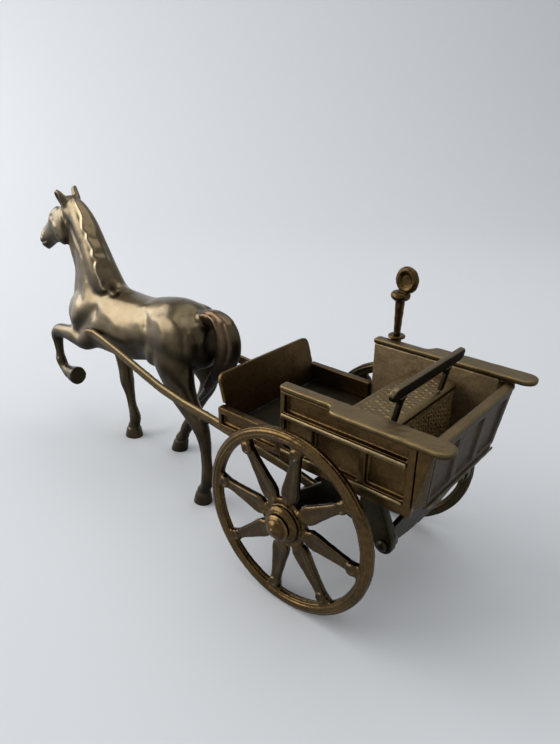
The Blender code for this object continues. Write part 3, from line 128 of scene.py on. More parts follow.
def loft(bm, stations, sides=28, steps=5, lobes=0, lobe_depth=0.0, twist=0.0):
    """Bridges rings through rows of x, y, z, half depth and half width, and closes both ends.

    Lobes furrow the tube along its length, like locks of hair, and twist turns them.
    """
    count = (len(stations) - 1) * steps
    rows = [spline_between(stations, k / steps) for k in range(count + 1)]
    centres = [on_ornament(row[:3]) for row in rows]
    last = None
    for k, row in enumerate(rows):
        along = (centres[min(k + 1, count)] - centres[max(k - 1, 0)]).normalized()
        wide = Vector((0, 1, 0))
        wide = (wide - along * wide.dot(along)).normalized()
        deep = along.cross(wide)
        ring = bmesh.ops.create_circle(bm, cap_ends=False, segments=sides, radius=1.0)["verts"]
        turn = Matrix((deep * row[3] * MM, wide * row[4] * MM, along)).transposed().to_4x4()
        for i, vert in enumerate(ring):
            if lobes:
                wave = abs(cos((2 * pi * i / sides + twist * k / count) * lobes / 2))
                vert.co *= 1 - lobe_depth + lobe_depth * wave
        bmesh.ops.transform(bm, matrix=Matrix.Translation(centres[k]) @ turn, verts=ring)
        edges = list({edge for vert in ring for edge in vert.link_edges
                      if edge.other_vert(vert) in ring})
        if last is None:
            bmesh.ops.edgenet_fill(bm, edges=edges)
        else:
            bmesh.ops.bridge_loops(bm, edges=last + edges)
        last = edges
    bmesh.ops.edgenet_fill(bm, edges=last)


def lump(bm, centre, radii, pitch=0.0):
    """Adds an ellipsoid, turned about Y by a pitch in degrees."""
    size = Matrix.Diagonal((radii[0] * MM, radii[1] * MM, radii[2] * MM, 1))
    place = Matrix.Translation(on_ornament(centre)) @ Matrix.Rotation(radians(pitch), 4, "Y") @ size
    bmesh.ops.create_icosphere(bm, subdivisions=4, radius=1.0, matrix=place)


def ring_turned(profile, segments, closed=True):
    """Spins a profile of (distance along Y, radius) in millimetres round the wheel's own axis."""
    bm = bmesh.new()
    verts = [bm.verts.new((radius * MM, along * MM, 0)) for along, radius in profile]
    edges = [bm.edges.new(pair) for pair in zip(verts, verts[1:])]
    if closed:
        edges.append(bm.edges.new((verts[-1], verts[0])))
    bmesh.ops.spin(bm, geom=verts + edges, cent=(0, 0, 0), axis=(0, 1, 0), angle=2 * pi,
                   steps=segments, use_merge=True)
    bmesh.ops.remove_doubles(bm, verts=bm.verts, dist=0.0005 * MM)
    bmesh.ops.recalc_face_normals(bm, faces=bm.faces)
    return bm


def joined(parts):
    """One bmesh of several, which are freed."""
    mesh = bpy.data.meshes.new("working")
    whole = bmesh.new()
    for part in parts:
        part.to_mesh(mesh)
        part.free()
        whole.from_mesh(mesh)
    bpy.data.meshes.remove(mesh)
    return whole


def mesh_of(bm, name):
    """A new mesh of the bmesh, which is freed."""
    mesh = bpy.data.meshes.new(name)
    bm.to_mesh(mesh)
    bm.free()
    return mesh


def new_verts(grown):
    """The corners that an extrusion made."""
    return [item for item in grown["geom"] if isinstance(item, bmesh.types.BMVert)]


def relax(bm, verts, factor):
    bmesh.ops.smooth_vert(bm, verts=verts, factor=factor, use_axis_x=True, use_axis_y=True, use_axis_z=True)


def one_skin(bm, voxel, smoothing, factor=0.5):
    """Fuses overlapping closed forms into one smooth skin, as a mesh. Voxel is in millimetres."""
    bmesh.ops.recalc_face_normals(bm, faces=bm.faces)
    mesh = mesh_of(bm, "working")
    working = bpy.data.objects.new("working", mesh)
    bpy.context.scene.collection.objects.link(working)
    skin = working.modifiers.new("one skin", "REMESH")
    skin.mode = "VOXEL"
    skin.voxel_size = voxel * MM
    if smoothing:
        blend = working.modifiers.new("blend", "SMOOTH")
        blend.factor = factor
        blend.iterations = smoothing
    bpy.context.view_layer.update()
    seen = working.evaluated_get(bpy.context.evaluated_depsgraph_get())
    result = bpy.data.meshes.new_from_object(seen)
    bpy.data.objects.remove(working, do_unlink=True)
    bpy.data.meshes.remove(mesh)
    return result


def eased(mesh, chosen, passes):
    """Smooths the chosen points of the skin only."""
    bm = bmesh.new()
    bm.from_mesh(mesh)
    bm.verts.ensure_lookup_table()
    verts = [bm.verts[i] for i in np.nonzero(chosen)[0]]
    for _ in range(passes):
        relax(bm, verts, 0.5)
    bm.to_mesh(mesh)
    bm.free()


def read_points(mesh):
    """The mesh's points in millimetres from under the axle, and their normals."""
    read = []
    for items, key in ((mesh.vertices, "co"), (mesh.vertex_normals, "vector")):
        values = np.zeros(len(items) * 3, np.float32)
        items.foreach_get(key, values)
        read.append(values.reshape(-1, 3).astype(float))
    points, normals = read
    points[:, 0] -= AXLE_X
    return points / MM, normals


def write_points(mesh, points):
    places = points * MM
    places[:, 0] += AXLE_X
    mesh.vertices.foreach_set("co", places.astype(np.float32).ravel())
    mesh.update()


def from_segment(points, a, b):
    """How far along the segment from a to b each point lies, from 0 to 1, and its offset from there."""
    run = b - a
    share = np.clip(((points - a) @ run) / max(run @ run, 1e-9), 0, 1)
    return share, points - a - share[:, None] * run


def nearness(points, line, width):
    """1 on a line through the given places, falling to 0 at about twice the width."""
    line = np.asarray(line, float)
    near = np.zeros(len(points))
    low = line.min(0) - 3 * width
    high = line.max(0) + 3 * width
    inside = np.nonzero(((points > low) & (points < high)).all(1))[0]
    if not len(inside):
        return near
    at = points[inside]
    best = np.full(len(inside), 1e9)
    if len(line) == 1:
        best = np.linalg.norm(at - line[0], axis=1)
    for a, b in zip(line, line[1:]):
        best = np.minimum(best, np.linalg.norm(from_segment(at, a, b)[1], axis=1))
    near[inside] = np.exp(-(best / width) ** 2)
    return near


def ramp(values, start, full):
    """0 at the start, rising evenly to 1 at full and beyond."""
    return np.clip((values - start) / (full - start), 0, 1)


def record(mesh, name, values):
    """Writes one number to each point of the mesh, for the finishes to read."""
    mesh.attributes.new(name, "FLOAT", "POINT").data.foreach_set("value", values.astype(np.float32))


def press(mesh, strokes):
    """Pushes the skin out or in along lines: a stroke is places, width, depth, and False if one-sided."""
    points, normals = read_points(mesh)
    move = np.zeros(len(points))
    for places, width, depth, *one_side in strokes:
        for side in ((1,) if one_side else (1, -1)):
            line = curved([(x, y * side, z) for x, y, z in places])
            move += depth * nearness(points, line, width)
    write_points(mesh, points + normals * move[:, None])


def side_distance(points, line):
    """Signed distance in the X-Z plane from a line, positive to the left of its run."""
    best = np.full(len(points), 1e9)
    signed = np.zeros(len(points))
    share_along = np.zeros(len(points))
    total = len(line) - 1
    for k, (a, b) in enumerate(zip(line, line[1:])):
        run, to = b - a, points - a
        share, off = from_segment(points, a, b)
        gap = np.linalg.norm(off, axis=1)
        closer = gap < best
        best[closer] = gap[closer]
        cross = run[0] * to[:, 1] - run[1] * to[:, 0]
        signed[closer] = (np.sign(cross) * gap)[closer]
        share_along[closer] = ((k + share) / total)[closer]
    return signed, share_along


def uneven(mesh, amount, reach, seed):
    """Moves the skin in and out a little, like a hand-finished sand casting."""
    points, normals = read_points(mesh)
    rng = np.random.default_rng(seed)
    move = np.zeros(len(points))
    for share in (1.0, 0.55, 0.3):
        for _ in range(5):
            heading = rng.normal(size=3)
            heading *= 2 * pi / (reach * share * np.linalg.norm(heading))
            move += share * np.sin(points @ heading + rng.uniform(0, 2 * pi))
    write_points(mesh, points + normals * (amount * move / 3.2)[:, None])


def merged_node(name):
    """A CAD node's mesh as one closed bmesh of flat faces."""
    bm = bmesh.new()
    bm.from_mesh(frame["nodes"][name].data)
    bmesh.ops.remove_doubles(bm, verts=bm.verts, dist=0.002 * MM)
    bmesh.ops.dissolve_limit(bm, angle_limit=radians(0.6), verts=bm.verts, edges=bm.edges)
    return bm


def make_piece(name, mesh, nodes, material):
    """Puts a finished mesh in the scene in place of CAD nodes, on their body."""
    mesh.name = name
    mesh.shade_smooth()
    mesh.materials.clear()
    mesh.materials.append(material)
    piece = bpy.data.objects.new(name, mesh)
    bpy.context.scene.collection.objects.link(piece)
    home = nodes[0]
    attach(piece, frame["nodes"][home]["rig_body"])
    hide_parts(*nodes)
    return piece


def cast_node(name, material, voxel, smoothing, wobble=0.0, reach=7.0):
    """A CAD node's solid as a cast piece, with soft edges and an uneven skin."""
    mesh = one_skin(merged_node(name), voxel, smoothing)
    if wobble:
        uneven(mesh, wobble, reach, sum(ord(letter) for letter in name))
    return make_piece(name + "_casting", mesh, [name], material)


# Finishes


def add_node(tree, kind, inputs=None, **settings):
    """A node with its settings and inputs: values are set, and sockets are linked."""
    made = tree.nodes.new(kind)
    for key, value in settings.items():
        setattr(made, key, value)
    for key, value in (inputs or {}).items():
        if isinstance(value, bpy.types.NodeSocket):
            tree.links.new(value, made.inputs[key])
        else:
            made.inputs[key].default_value = value
    return made


def mixed(tree, factor, first, second):
    """A mix of two colours. The node's colour inputs are numbers 6 and 7."""
    return add_node(tree, "ShaderNodeMix", {0: factor, 6: first, 7: second}, data_type="RGBA").outputs[2]


def reckoned(tree, operation, first, second, clamp=False):
    return add_node(tree, "ShaderNodeMath", {0: first, 1: second}, operation=operation,
                    use_clamp=clamp).outputs[0]


def spread(tree, value, low, high):
    return add_node(tree, "ShaderNodeMapRange", {"Value": value, "From Min": low, "From Max": high},
                    interpolation_type="SMOOTHSTEP").outputs[0]


def attribute(tree, name):
    return add_node(tree, "ShaderNodeAttribute", attribute_name=name).outputs["Fac"]


def age_group():
    """Tarnish, grime and painted shade in the hollows, painted shade on down-facing surfaces, and polish on
    the edges of an old brass casting.
    """
    tree = bpy.data.node_groups.new("Brass age", "ShaderNodeTree")
    sockets = (("INPUT", "Color", TONES), ("INPUT", "Float", MEASURES), ("OUTPUT", "Color", ["Color"]),
               ("OUTPUT", "Float", ["Roughness", "Height"]))
    for direction, kind, names in sockets:
        for name in names:
            tree.interface.new_socket(name=name, in_out=direction, socket_type="NodeSocket" + kind)
    given = add_node(tree, "NodeGroupInput").outputs
    where = add_node(tree, "ShaderNodeTexCoord").outputs
    plus, minus, times = (partial(reckoned, tree, operation) for operation in ("ADD", "SUBTRACT", "MULTIPLY"))
    blotch, speck, grain, swell = (add_node(tree, "ShaderNodeTexNoise", {
        "Vector": where["Object"], "Scale": scale, "Detail": detail, "Roughness": roughness}).outputs["Fac"]
        for scale, detail, roughness in ((70, 5, 0.62), (620, 4, 0.7), (1900, 3, 0.6), (150, 2, 0.5)))

    def enclosed(distance, inside):
        """How much the casting shuts in a place, from 0 to 1. Inside the metal it finds edges."""
        seen = add_node(tree, "ShaderNodeAmbientOcclusion", {"Distance": distance}, samples=8,
                        only_local=True, inside=inside)
        return minus(1.0, seen.outputs["AO"])

    hollow = enclosed(times(given["Hollow reach"], MM), False)
    edge = spread(tree, enclosed(1.1 * MM, True), 0.42, 0.75)
    normal = add_node(tree, "ShaderNodeSeparateXYZ", {"Vector": where["Normal"]}).outputs
    facing_down = spread(tree, normal["Z"], 0.55, -0.35)
    flecks = minus(speck, 0.5)
    tarnish = plus(given["Tarnish amount"], times(minus(blotch, 0.5), 1.5))
    tarnish = plus(tarnish, times(flecks, given["Mottle"]), True)
    # Painted shade: down-facing surfaces darken by the Underside amount, and the hollows darken as grime and
    # painted shade; both mix towards the Grime tone.
    under = times(facing_down, given["Underside shade"])
    grime_and_shade = plus(spread(tree, plus(hollow, times(flecks, 0.5)), 0.15, 0.8), under, True)
    worn = times(edge, times(given["Edge polish"], spread(tree, blotch, 0.25, 0.6)), True)
    colour = mixed(tree, tarnish, given["Brass"], given["Tarnish"])
    colour = mixed(tree, grime_and_shade, colour, given["Grime and shade"])
    colour = mixed(tree, worn, colour, given["Polish"])
    rough = plus(given["Gloss roughness"], times(grime_and_shade, 0.28))
    rough = plus(rough, times(flecks, times(given["Mottle"], 0.14)))
    rough = minus(rough, times(worn, 0.06), True)
    fine = times(given["Grain"], plus(times(grain, 0.16), times(speck, 0.5)))
    height = plus(times(swell, 0.8), fine)
    add_node(tree, "NodeGroupOutput", {"Color": colour, "Roughness": rough, "Height": height})
    return tree


TONES = ("Brass", "Tarnish", "Grime and shade", "Polish")
MEASURES = ("Tarnish amount", "Underside shade", "Hollow reach", "Edge polish", "Gloss roughness", "Mottle",
            "Grain")
# Each finish gives its Brass, Tarnish, Grime and Polish tones, then Tarnish amount, Underside, Hollow reach,
# Edge polish, Gloss roughness, Mottle and Grain. The Grime tone is grime and painted shade, and Underside is
# how much painted shade darkens down-facing surfaces.
FINISHES = {
    "horse": ((0.245, 0.192, 0.118), (0.112, 0.084, 0.047), (0.0125, 0.009, 0.0052), (0.4, 0.33, 0.22),
        0.38, 0.9, 5.0, 0.25, 0.28, 0.25, 0.03),
    # tail: darker brass of the tail and mane, partly painted shade where the tail faces the rear.
    "tail": ((0.15, 0.088, 0.05), (0.055, 0.032, 0.018), (0.01, 0.0065, 0.004), (0.4, 0.28, 0.18)),
    "rail": ((0.215, 0.152, 0.072), (0.12, 0.083, 0.037), (0.016, 0.011, 0.006), (0.36, 0.27, 0.15), 0.45,
        0.85, 3.0, 0.7, 0.4, 0.9, 0.5),
    "wheel": ((0.15, 0.09, 0.033), (0.05, 0.032, 0.0145), (0.01, 0.007, 0.004), (0.46, 0.31, 0.14), 0.5,
        0.35, 3.0, 0.8, 0.25, 1.6, 0.8),
    # far wheel: the wheel's brass darkened as painted shade, for the far wheel behind the body.
    "shaded far wheel": ((0.085, 0.062, 0.03), (0.028, 0.023, 0.0125), (0.008, 0.0065, 0.004), (0.3, 0.22, 0.12),
        0.6, 0.35, 3.0, 0.6, 0.3, 1.2, 0.8),
    # back: brass darkened as painted shade for the rear-facing tailgate and its foot strip.
    "back": ((0.08, 0.052, 0.026), (0.03, 0.02, 0.01), (0.007, 0.005, 0.003), (0.26, 0.19, 0.1), 0.5,
        0.3, 3.0, 0.9, 0.55, 1.2, 0.8),
    "panel": ((0.135, 0.08, 0.03), (0.05, 0.031, 0.0125), (0.009, 0.006, 0.0035), (0.34, 0.24, 0.115),
        0.52, 0.3, 4.0, 0.8, 0.34, 1.6, 0.8),
    # inside: brass lightened as painted light on the right side's inner face, which lies in shade inside the
    # body.
    "inside": ((0.38, 0.265, 0.135), (0.13, 0.082, 0.036), (0.02, 0.013, 0.006), (0.46, 0.34, 0.18), 0.4,
        0.3, 3.0, 0.5, 0.42, 1.5, 0.9),
    # rough: rough-cast brass with bright specks, lightened as painted light where the seat's rear panel lies
    # in shade.
    "rough": ((0.55, 0.37, 0.165), (0.12, 0.072, 0.03), (0.03, 0.018, 0.008), (0.85, 0.64, 0.34), 0.46, 0.2,
        1.5, 0.6, 0.34, 3.4, 3.0),
    # frame: the backrest's brass, whose full Underside amount puts painted shade on all but its upward faces.
    "frame": ((0.2, 0.15, 0.085), (0.11, 0.08, 0.043), (0.0085, 0.008, 0.006), (0.3, 0.23, 0.14), 0.4,
        1.0, 2.0, 0.5, 0.36, 0.6, 0.3),
    "shaded": ((0.046, 0.037, 0.022), (0.02, 0.0175, 0.0115), (0.0065, 0.0058, 0.0045),
        (0.16, 0.125, 0.07), 0.5, 0.3, 4.0, 0.6, 0.38, 1.2, 0.8),
}
METALLIC = {"rough": 0.25, "inside": 0.6, "back": 0.4}
# Darker tones that the horse turns to where it is toned dark: mostly painted shade, on the legs, haunch,
# rear-facing parts, croup, brow, eye and withers hollow.
HORSE_SHADE_TONES = {"Brass": (0.052, 0.038, 0.021, 1), "Tarnish": (0.024, 0.017, 0.009, 1),
                "Grime and shade": (0.008, 0.006, 0.004, 1), "Polish": (0.22, 0.17, 0.10, 1)}
WHEEL_PATINA = {"Brass": (0.070, 0.052, 0.033, 1), "Tarnish": (0.034, 0.027, 0.018, 1),
                "Polish": (0.26, 0.20, 0.13, 1)}


def brass(finish):
    """The aged brass of one kind of piece."""
    name = "Aged brass " + finish
    if name in bpy.data.materials:
        return bpy.data.materials[name]
    group = bpy.data.node_groups.get("Brass age") or age_group()
    looks = {kind: dict(zip(TONES + MEASURES, values)) for kind, values in FINISHES.items()}
    for kind in ("horse", "tail", "rail", "wheel", "panel", "inside"):
        looks[kind]["Brass"] = tuple(getattr(bpy.context.scene.ornament_finish, kind + "_brass"))
    for look in looks.values():
        look.update({key: (*look[key], 1.0) for key in TONES})
    look = looks[finish]
    material = bpy.data.materials.new(name)
    material.use_nodes = True
    tree = material.node_tree
    shader = tree.nodes["Principled BSDF"].inputs
    shader["Metallic"].default_value = METALLIC.get(finish, 1.0)
    age = add_node(tree, "ShaderNodeGroup", look, node_tree=group)
    if finish == "horse":
        # Painted shade on the horse: its tones mix towards the darker horse tones where its points are toned
        # dark, and towards polish on worn ridges.
        hair, patina, worn = (attribute(tree, kind) for kind in ("hair", "patina", "worn"))
        for key, dark in HORSE_SHADE_TONES.items():
            tone = mixed(tree, patina, mixed(tree, hair, look[key], looks["tail"][key]), dark)
            tree.links.new(mixed(tree, worn, tone, look["Polish"]), age.inputs[key])
    if "wheel" in finish:
        patina = attribute(tree, "patina")
        for key, dark in WHEEL_PATINA.items():
            tree.links.new(mixed(tree, patina, look[key], dark), age.inputs[key])
    depth = 0.1 if finish == "horse" else 0.25
    bump = add_node(tree, "ShaderNodeBump", {
        "Strength": 0.5, "Height": age.outputs["Height"], "Distance": depth * MM})
    for made, key in ((age.outputs["Color"], "Base Color"), (age.outputs["Roughness"], "Roughness"),
                      (bump.outputs["Normal"], "Normal")):
        tree.links.new(made, shader[key])
    return material


# Horse


TRUNK_AND_HEAD = (
    [(-93, 0, 92, 8, 8), (-98, 0, 91.4, 14.4, 13.6), (-107, 0, 91, 18.6, 17.4), (-118, 0, 92, 20.6, 18.8),
     (-130, 0, 91, 20, 18), (-142, 0, 88.5, 19.2, 17.2), (-156, 0, 86.2, 20.6, 18),
     (-172, 0, 85.2, 22.2, 18.2), (-188, 0, 85, 23, 17.2), (-202, 0, 84, 22, 15.6),
     (-213, 0, 83, 18.5, 13.4), (-221, 0, 83, 13, 10), (-225.5, 0, 83, 4, 4)],
    [(-186, 0, 86, 23, 14), (-192.5, 0, 97, 23, 12.8), (-197, 0, 111, 19, 10.4),
     (-201.6, 0, 127, 14.8, 8.2), (-206.4, 0, 140.2, 11.6, 7), (-211.6, 0, 148.4, 8.8, 6.2),
     (-217.4, 0, 152.6, 7, 5.2)],
    [(-212, 0, 148, 5, 4.4), (-217.4, 0, 137, 7, 5.2), (-216, 0, 126, 6.8, 5.2), (-212, 0, 114, 6.6, 5.8),
     (-212, 0, 102, 7.8, 7.6), (-213, 0, 92, 8.4, 9)],
    [(-211, 0, 150, 6.6, 5), (-216, 0, 148.2, 10.2, 6.2), (-222, 0, 142.8, 10.8, 6.8),
     (-230.6, 0, 139, 11, 6.2), (-238.4, 0, 135.4, 9.4, 5), (-245.8, 0, 131.8, 8.2, 4.4),
     (-251, 0, 127, 6.4, 4.7), (-255.5, 0, 124.4, 5.2, 4.2), (-257.6, 0, 123.2, 2.2, 2.2)],
)
TAIL = [(-107, 0, 102.6, 3.5, 4), (-99, 0, 106.2, 4.4, 4.4), (-90.2, 0, 107, 5.6, 5.2),
        (-83.2, 0, 103, 7.2, 6), (-81, 0, 95, 8.1, 6.4), (-82.8, 0, 86, 7.2, 5.8), (-88, 0, 77.4, 5.2, 4.8),
        (-94.6, 0, 69, 3.4, 3.6), (-101, 0, 60, 2.6, 2.8), (-107, 0, 52, 1.4, 1.6)]
LEGS = (
    [(-200, -8.5, 84, 12, 7.4), (-199, -10, 74, 10, 7), (-203, -11, 69.5, 8, 6.2),
     (-213, -11, 69.5, 6.8, 5.4), (-224, -11, 69, 5.2, 4.6), (-233, -11, 67.8, 4.8, 4.4),
     (-237.2, -11, 64, 4.6, 4.2), (-237.4, -11, 58, 3.6, 3.3), (-237, -11, 51, 3, 2.8),
     (-236.4, -11.2, 45.5, 3.8, 3.5), (-232.6, -11.5, 40.6, 3.4, 3.2), (-227, -11.8, 38.8, 4.4, 4.2),
     (-219.5, -12.2, 39, 5.8, 5.6), (-214.6, -12.5, 39.4, 6.5, 6.3)],
    [(-201, 8.5, 84, 11, 7.4), (-196, 10, 71, 9.4, 6.8), (-192, 9.6, 57, 7.2, 5.4),
     (-188.5, 8, 46, 5.4, 4.5), (-185.8, 6.6, 38, 5.2, 4.6), (-183, 6, 30.5, 3.8, 3.3),
     (-180.4, 5.2, 22, 3.2, 2.9), (-177.4, 4.5, 14.4, 4.2, 3.7), (-177.6, 4, 9.4, 3.8, 3.6),
     (-178.2, 3.7, 6.6, 5, 4.6), (-178.6, 3.5, 0, 6.6, 5.8), (-178.6, 3.5, -2, 6.8, 6)],
    [(-114, -9, 92, 18, 9), (-113, -11.5, 79, 15.5, 8.6), (-104.5, -14.6, 65.5, 10.6, 6.4),
     (-95.5, -16.2, 56.5, 7.2, 5), (-88, -17, 49.4, 5.8, 4.5), (-84.4, -17.2, 41, 4.2, 3.6),
     (-83, -17.5, 30, 3.4, 2.9), (-82, -18, 17, 4, 3.7), (-84, -18, 10.6, 3.6, 3.4),
     (-85.4, -18, 7, 4.7, 4.4), (-86.4, -18, 0, 5.8, 5.4), (-86.4, -18, -2, 6, 5.6)],
    [(-114, 9, 92, 18, 9), (-117.5, 11.5, 80, 15.5, 8.4), (-115, 12.6, 68.5, 10.4, 6.4),
     (-111.8, 13, 59, 6.6, 4.8), (-114.4, 13, 51.5, 4.8, 4.2), (-119.5, 13, 43, 3.8, 3.4),
     (-126, 13, 31.5, 3.3, 2.9), (-132.6, 12.8, 20.4, 4, 3.7), (-136, 12.6, 13.6, 3.6, 3.4),
     (-138.6, 12.5, 8.4, 4.7, 4.5), (-141.4, 12.5, 0, 5.8, 5.4), (-141.6, 12.5, -2, 6, 5.6)],
)
MANE = (
    [(-211.5, -3.4, 150.4, 3.4, 3), (-203.6, -5.6, 143, 4.6, 3.2), (-196, -7.2, 133, 5.6, 3.4),
     (-189, -8.6, 122, 6.6, 4), (-184, -9.2, 112, 6.4, 4), (-178, -8.8, 105.6, 4, 3)],
    [(-209.5, -1.6, 150.6, 3.4, 3.2), (-201.6, -2.8, 143, 4.6, 4), (-194.4, -3.8, 133, 5.6, 4.6),
     (-188.2, -4.6, 122, 6.4, 5.4), (-183.4, -4.8, 112, 6.4, 5.6), (-177, -4.6, 105.4, 4.4, 4.6)],
)
PAIRED_LUMPS = ((-113, 11, 91.6, (18.4, 9, 16.4), 20), (-129, 11.5, 82, (8, 7, 11), 20),
    (-203, 8.5, 84, (12, 8, 17), 15), (-181, 9, 84, (14, 9.6, 13), 0), (-160, 7.4, 84, (24, 11.6, 17), 0),
    (-227, 4.4, 136, (7.6, 3.4, 9.6), -30), (-236, 3.6, 143.6, (5.4, 2.2, 3.4), 30),
    (-236, 3.4, 140, (6.4, 2.6, 5), 40))
SINGLE_LUMPS = (((-83, -17, 56), (3.2, 3, 4.4), 0), ((-108.4, 13, 63), (3.2, 3, 4.4), 0),
    ((-168, 0, 101), (16, 5, 7.6), 18), ((-232, 0, 144.8), (8.4, 4.8, 4.8), 30),
    ((-240.4, 0, 141.6), (5.4, 4.2, 3.6), 45), ((-219.4, 0, 153.6), (6, 6.2, 5.4), 0))


def horse_forms():
    """The horse as overlapping closed forms, before they are fused."""
    bm = bmesh.new()
    for stations in TRUNK_AND_HEAD:
        loft(bm, stations)
    loft(bm, TAIL, sides=40, steps=8, lobes=7, lobe_depth=0.12, twist=0.9)
    for stations in LEGS:
        loft(bm, stations)
    for side, tip in ((-1, (-224.6, -6.8, 161.6, 1.7, 1.3)), (1, (-224.6, 6.8, 163.2, 2.2, 1.6))):
        for x, y, z, radii, pitch in PAIRED_LUMPS:
            lump(bm, (x, side * y, z), radii, pitch)
        loft(bm, [(-218, side * 3.8, 152.4, 3.4, 2.2), (-220.2, side * 4.9, 156.2, 3.8, 2.2),
                  (-222.6, side * 5.9, 159.4, 3.2, 1.9), tip])
    for centre, radii, pitch in SINGLE_LUMPS:
        lump(bm, centre, radii, pitch)
    for stations in MANE:
        loft(bm, stations)
    return bm


EYELID = [(-238, -4.4, 142), (-234, -5.4, 140.4), (-229, -6.6, 138.6)]
NOSTRIL = [(-254.2, -3.2, 131.4), (-252.2, -4.2, 131.4), (-250.8, -4.6, 129.4)]
LOCK_HIGH = [(-192, -8.6, 130), (-188.6, -9.8, 122.6), (-186.2, -10.2, 115)]
LOCK_MIDDLE = [(-184.6, -5.5, 123.3), (-182.3, -8.3, 122.6), (-180.9, -8.3, 119.4), (-180.4, -7.5, 117.6)]
LOCK_LOW = [(-181, -8.4, 116), (-178.6, -7.8, 112), (-176.6, -8.2, 108.3), (-173.4, -7.6, 105.6)]
HORSE_STROKES = (
    ([(-183.1, -15.5, 95), (-188.9, -16.3, 89.5), (-196.8, -16, 82.3), (-204.9, -15.7, 74.8)], 4.2, -1.7),
    ([(-192, -13.4, 101), (-198.6, -15, 92), (-206, -15, 83)], 4.6, 0.9),
    ([(-174.6, -13.8, 98.7), (-166.2, -16.3, 94.9), (-158, -16.8, 92)], 3.6, 0.5),
    ([(-138.4, -12.5, 102.6), (-134, -13.8, 101.6), (-132.6, -15.6, 97)], 3.4, -1.0),
    ([(-130.6, -16.4, 98), (-131.6, -17.3, 91), (-133, -17.2, 83)], 4.0, -0.9),
    ([(-125.5, -14.9, 102.9), (-118.8, -16.5, 103.6), (-114.4, -18.5, 100),
      (-112.1, -19.7, 93.8)], 3.2, 0.6),
    ([(-122.9, -17.6, 77), (-116.7, -19.5, 76)], 5.0, 0.5),
    ([(-107.2, -10.3, 106.8), (-102.1, -14.3, 102), (-99.6, -16.1, 96.1), (-99.2, -16.2, 87.1),
      (-99.5, -16, 77)], 1.9, -0.55),
    ([(-219, -5.8, 150.5), (-213.5, -5.8, 146.5), (-206, -7.6, 141.5), (-200, -8.6, 135)], 2.2, 0.4),
    ([(-217.7, -6.1, 142.1), (-213.4, -5.6, 135.4), (-208.4, -6.7, 130.6), (-202.9, -7.9, 126),
      (-199.6, -8.7, 119.5), (-197.6, -9.2, 112)], 2.0, 0.6),
    ([(-218.8, -5.6, 145.6), (-212, -6.2, 139), (-206, -7.4, 133), (-200.6, -8.6, 126.5)], 2.2, -0.45),
    ([(-195.4, -10.8, 108), (-196, -12, 101)], 2.8, 0.6),
    ([(-224.2, -4.8, 149.4), (-220.7, -6.5, 144), (-220.6, -6.2, 138.6), (-219.6, -5.9, 133),
      (-221.4, -4.6, 128.6)], 1.5, -1.5),
    ([(-231.1, -6.7, 139.6), (-228.6, -7.5, 134)], 1.2, 0.5),
    ([(-236, -5.4, 144.6)], 1.3, -0.5),
    (EYELID, 1.1, 0.4),
    ([(-246.6, 0, 138.6), (-249, 0, 136)], 3.0, -0.8, False),
    ([(-252.4, 0, 132.6)], 2.6, 0.5, False),
    ([(-253, -3.9, 129.4)], 0.9, -1.5),
    (NOSTRIL, 0.7, 0.7),
    ([(-256.6, -2.2, 123.4), (-253, -4.4, 124.6), (-248.4, -4.6, 126)], 0.7, -1.1),
    ([(-252.6, 0, 119.6), (-250.4, -2.6, 120.4)], 1.6, 0.5),
    ([(-116, -0.4, 112.4)], 0.55, -0.9, False),
    ([(-121, -0.4, 112.2)], 0.5, -0.7, False),
    ([(-223, -6.8, 160.6), (-221.6, -7.6, 157), (-220, -7.4, 153.6)], 0.9, -1.0, False),
    ([(-223, 6.8, 160.6), (-221.6, 7.6, 157), (-220, 7.4, 153.6)], 0.9, -1.0, False),
)
MANE_EDGE = [(-211, 156), (-205.6, 151.6), (-202, 148), (-199.6, 144.4), (-197.8, 141.4), (-194.8, 139.2),
    (-193.2, 136.2), (-190.6, 133.4), (-188.2, 130.6), (-186.6, 127.4), (-184.2, 124.8), (-183.4, 121.2),
    (-181.8, 117.4), (-179.8, 113.6), (-178.6, 110), (-176.4, 107), (-173, 104.4), (-168, 102)]


def combed_mane(mesh):
    """Raises the hair on the left of the neck behind its wavy edge, and combs it into soft locks."""
    points, normals = read_points(mesh)
    line = curved(MANE_EDGE, 6)
    left = (points[:, 1] < 1.5) & (points[:, 2] > 102) & (points[:, 0] > -214) & (points[:, 0] < -158)
    at = np.nonzero(left)[0]
    inward, along = side_distance(points[at][:, [0, 2]], line)
    bend = 1.1 * np.sin(along * 23) + 0.5 * np.sin(along * 41 + 1)
    raised = 0.6 * np.clip(inward / 1.2 + 0.5, 0, 1) ** 2
    fade = np.exp(-np.clip(inward - 4.5, 0, None) / 3) * ramp(points[at][:, 2], 107, 113)
    fade *= ramp(points[at][:, 1], 0.6, -2.9)
    lip = 0.62 * np.exp(-((inward - 0.8) / 0.75) ** 2)
    locks = 0.14 * np.sin((inward + bend) * 2 * pi / 3.4 + 1.2) * ramp(inward, 0, 2.2)
    points[at] += normals[at] * ((raised + lip + locks) * fade)[:, None]
    write_points(mesh, points)


TAIL_LINE = [(-104, 0, 104)] + [row[:3] for row in TAIL[1:]]
WORN_RIDGES = (
    (LOCK_HIGH, 0.8, 0.5),
    (LOCK_MIDDLE, 0.7, 0.6),
    (LOCK_LOW, 0.8, 0.8),
    (EYELID, 0.7, 0.35),
    (NOSTRIL, 0.6, 0.5),
)


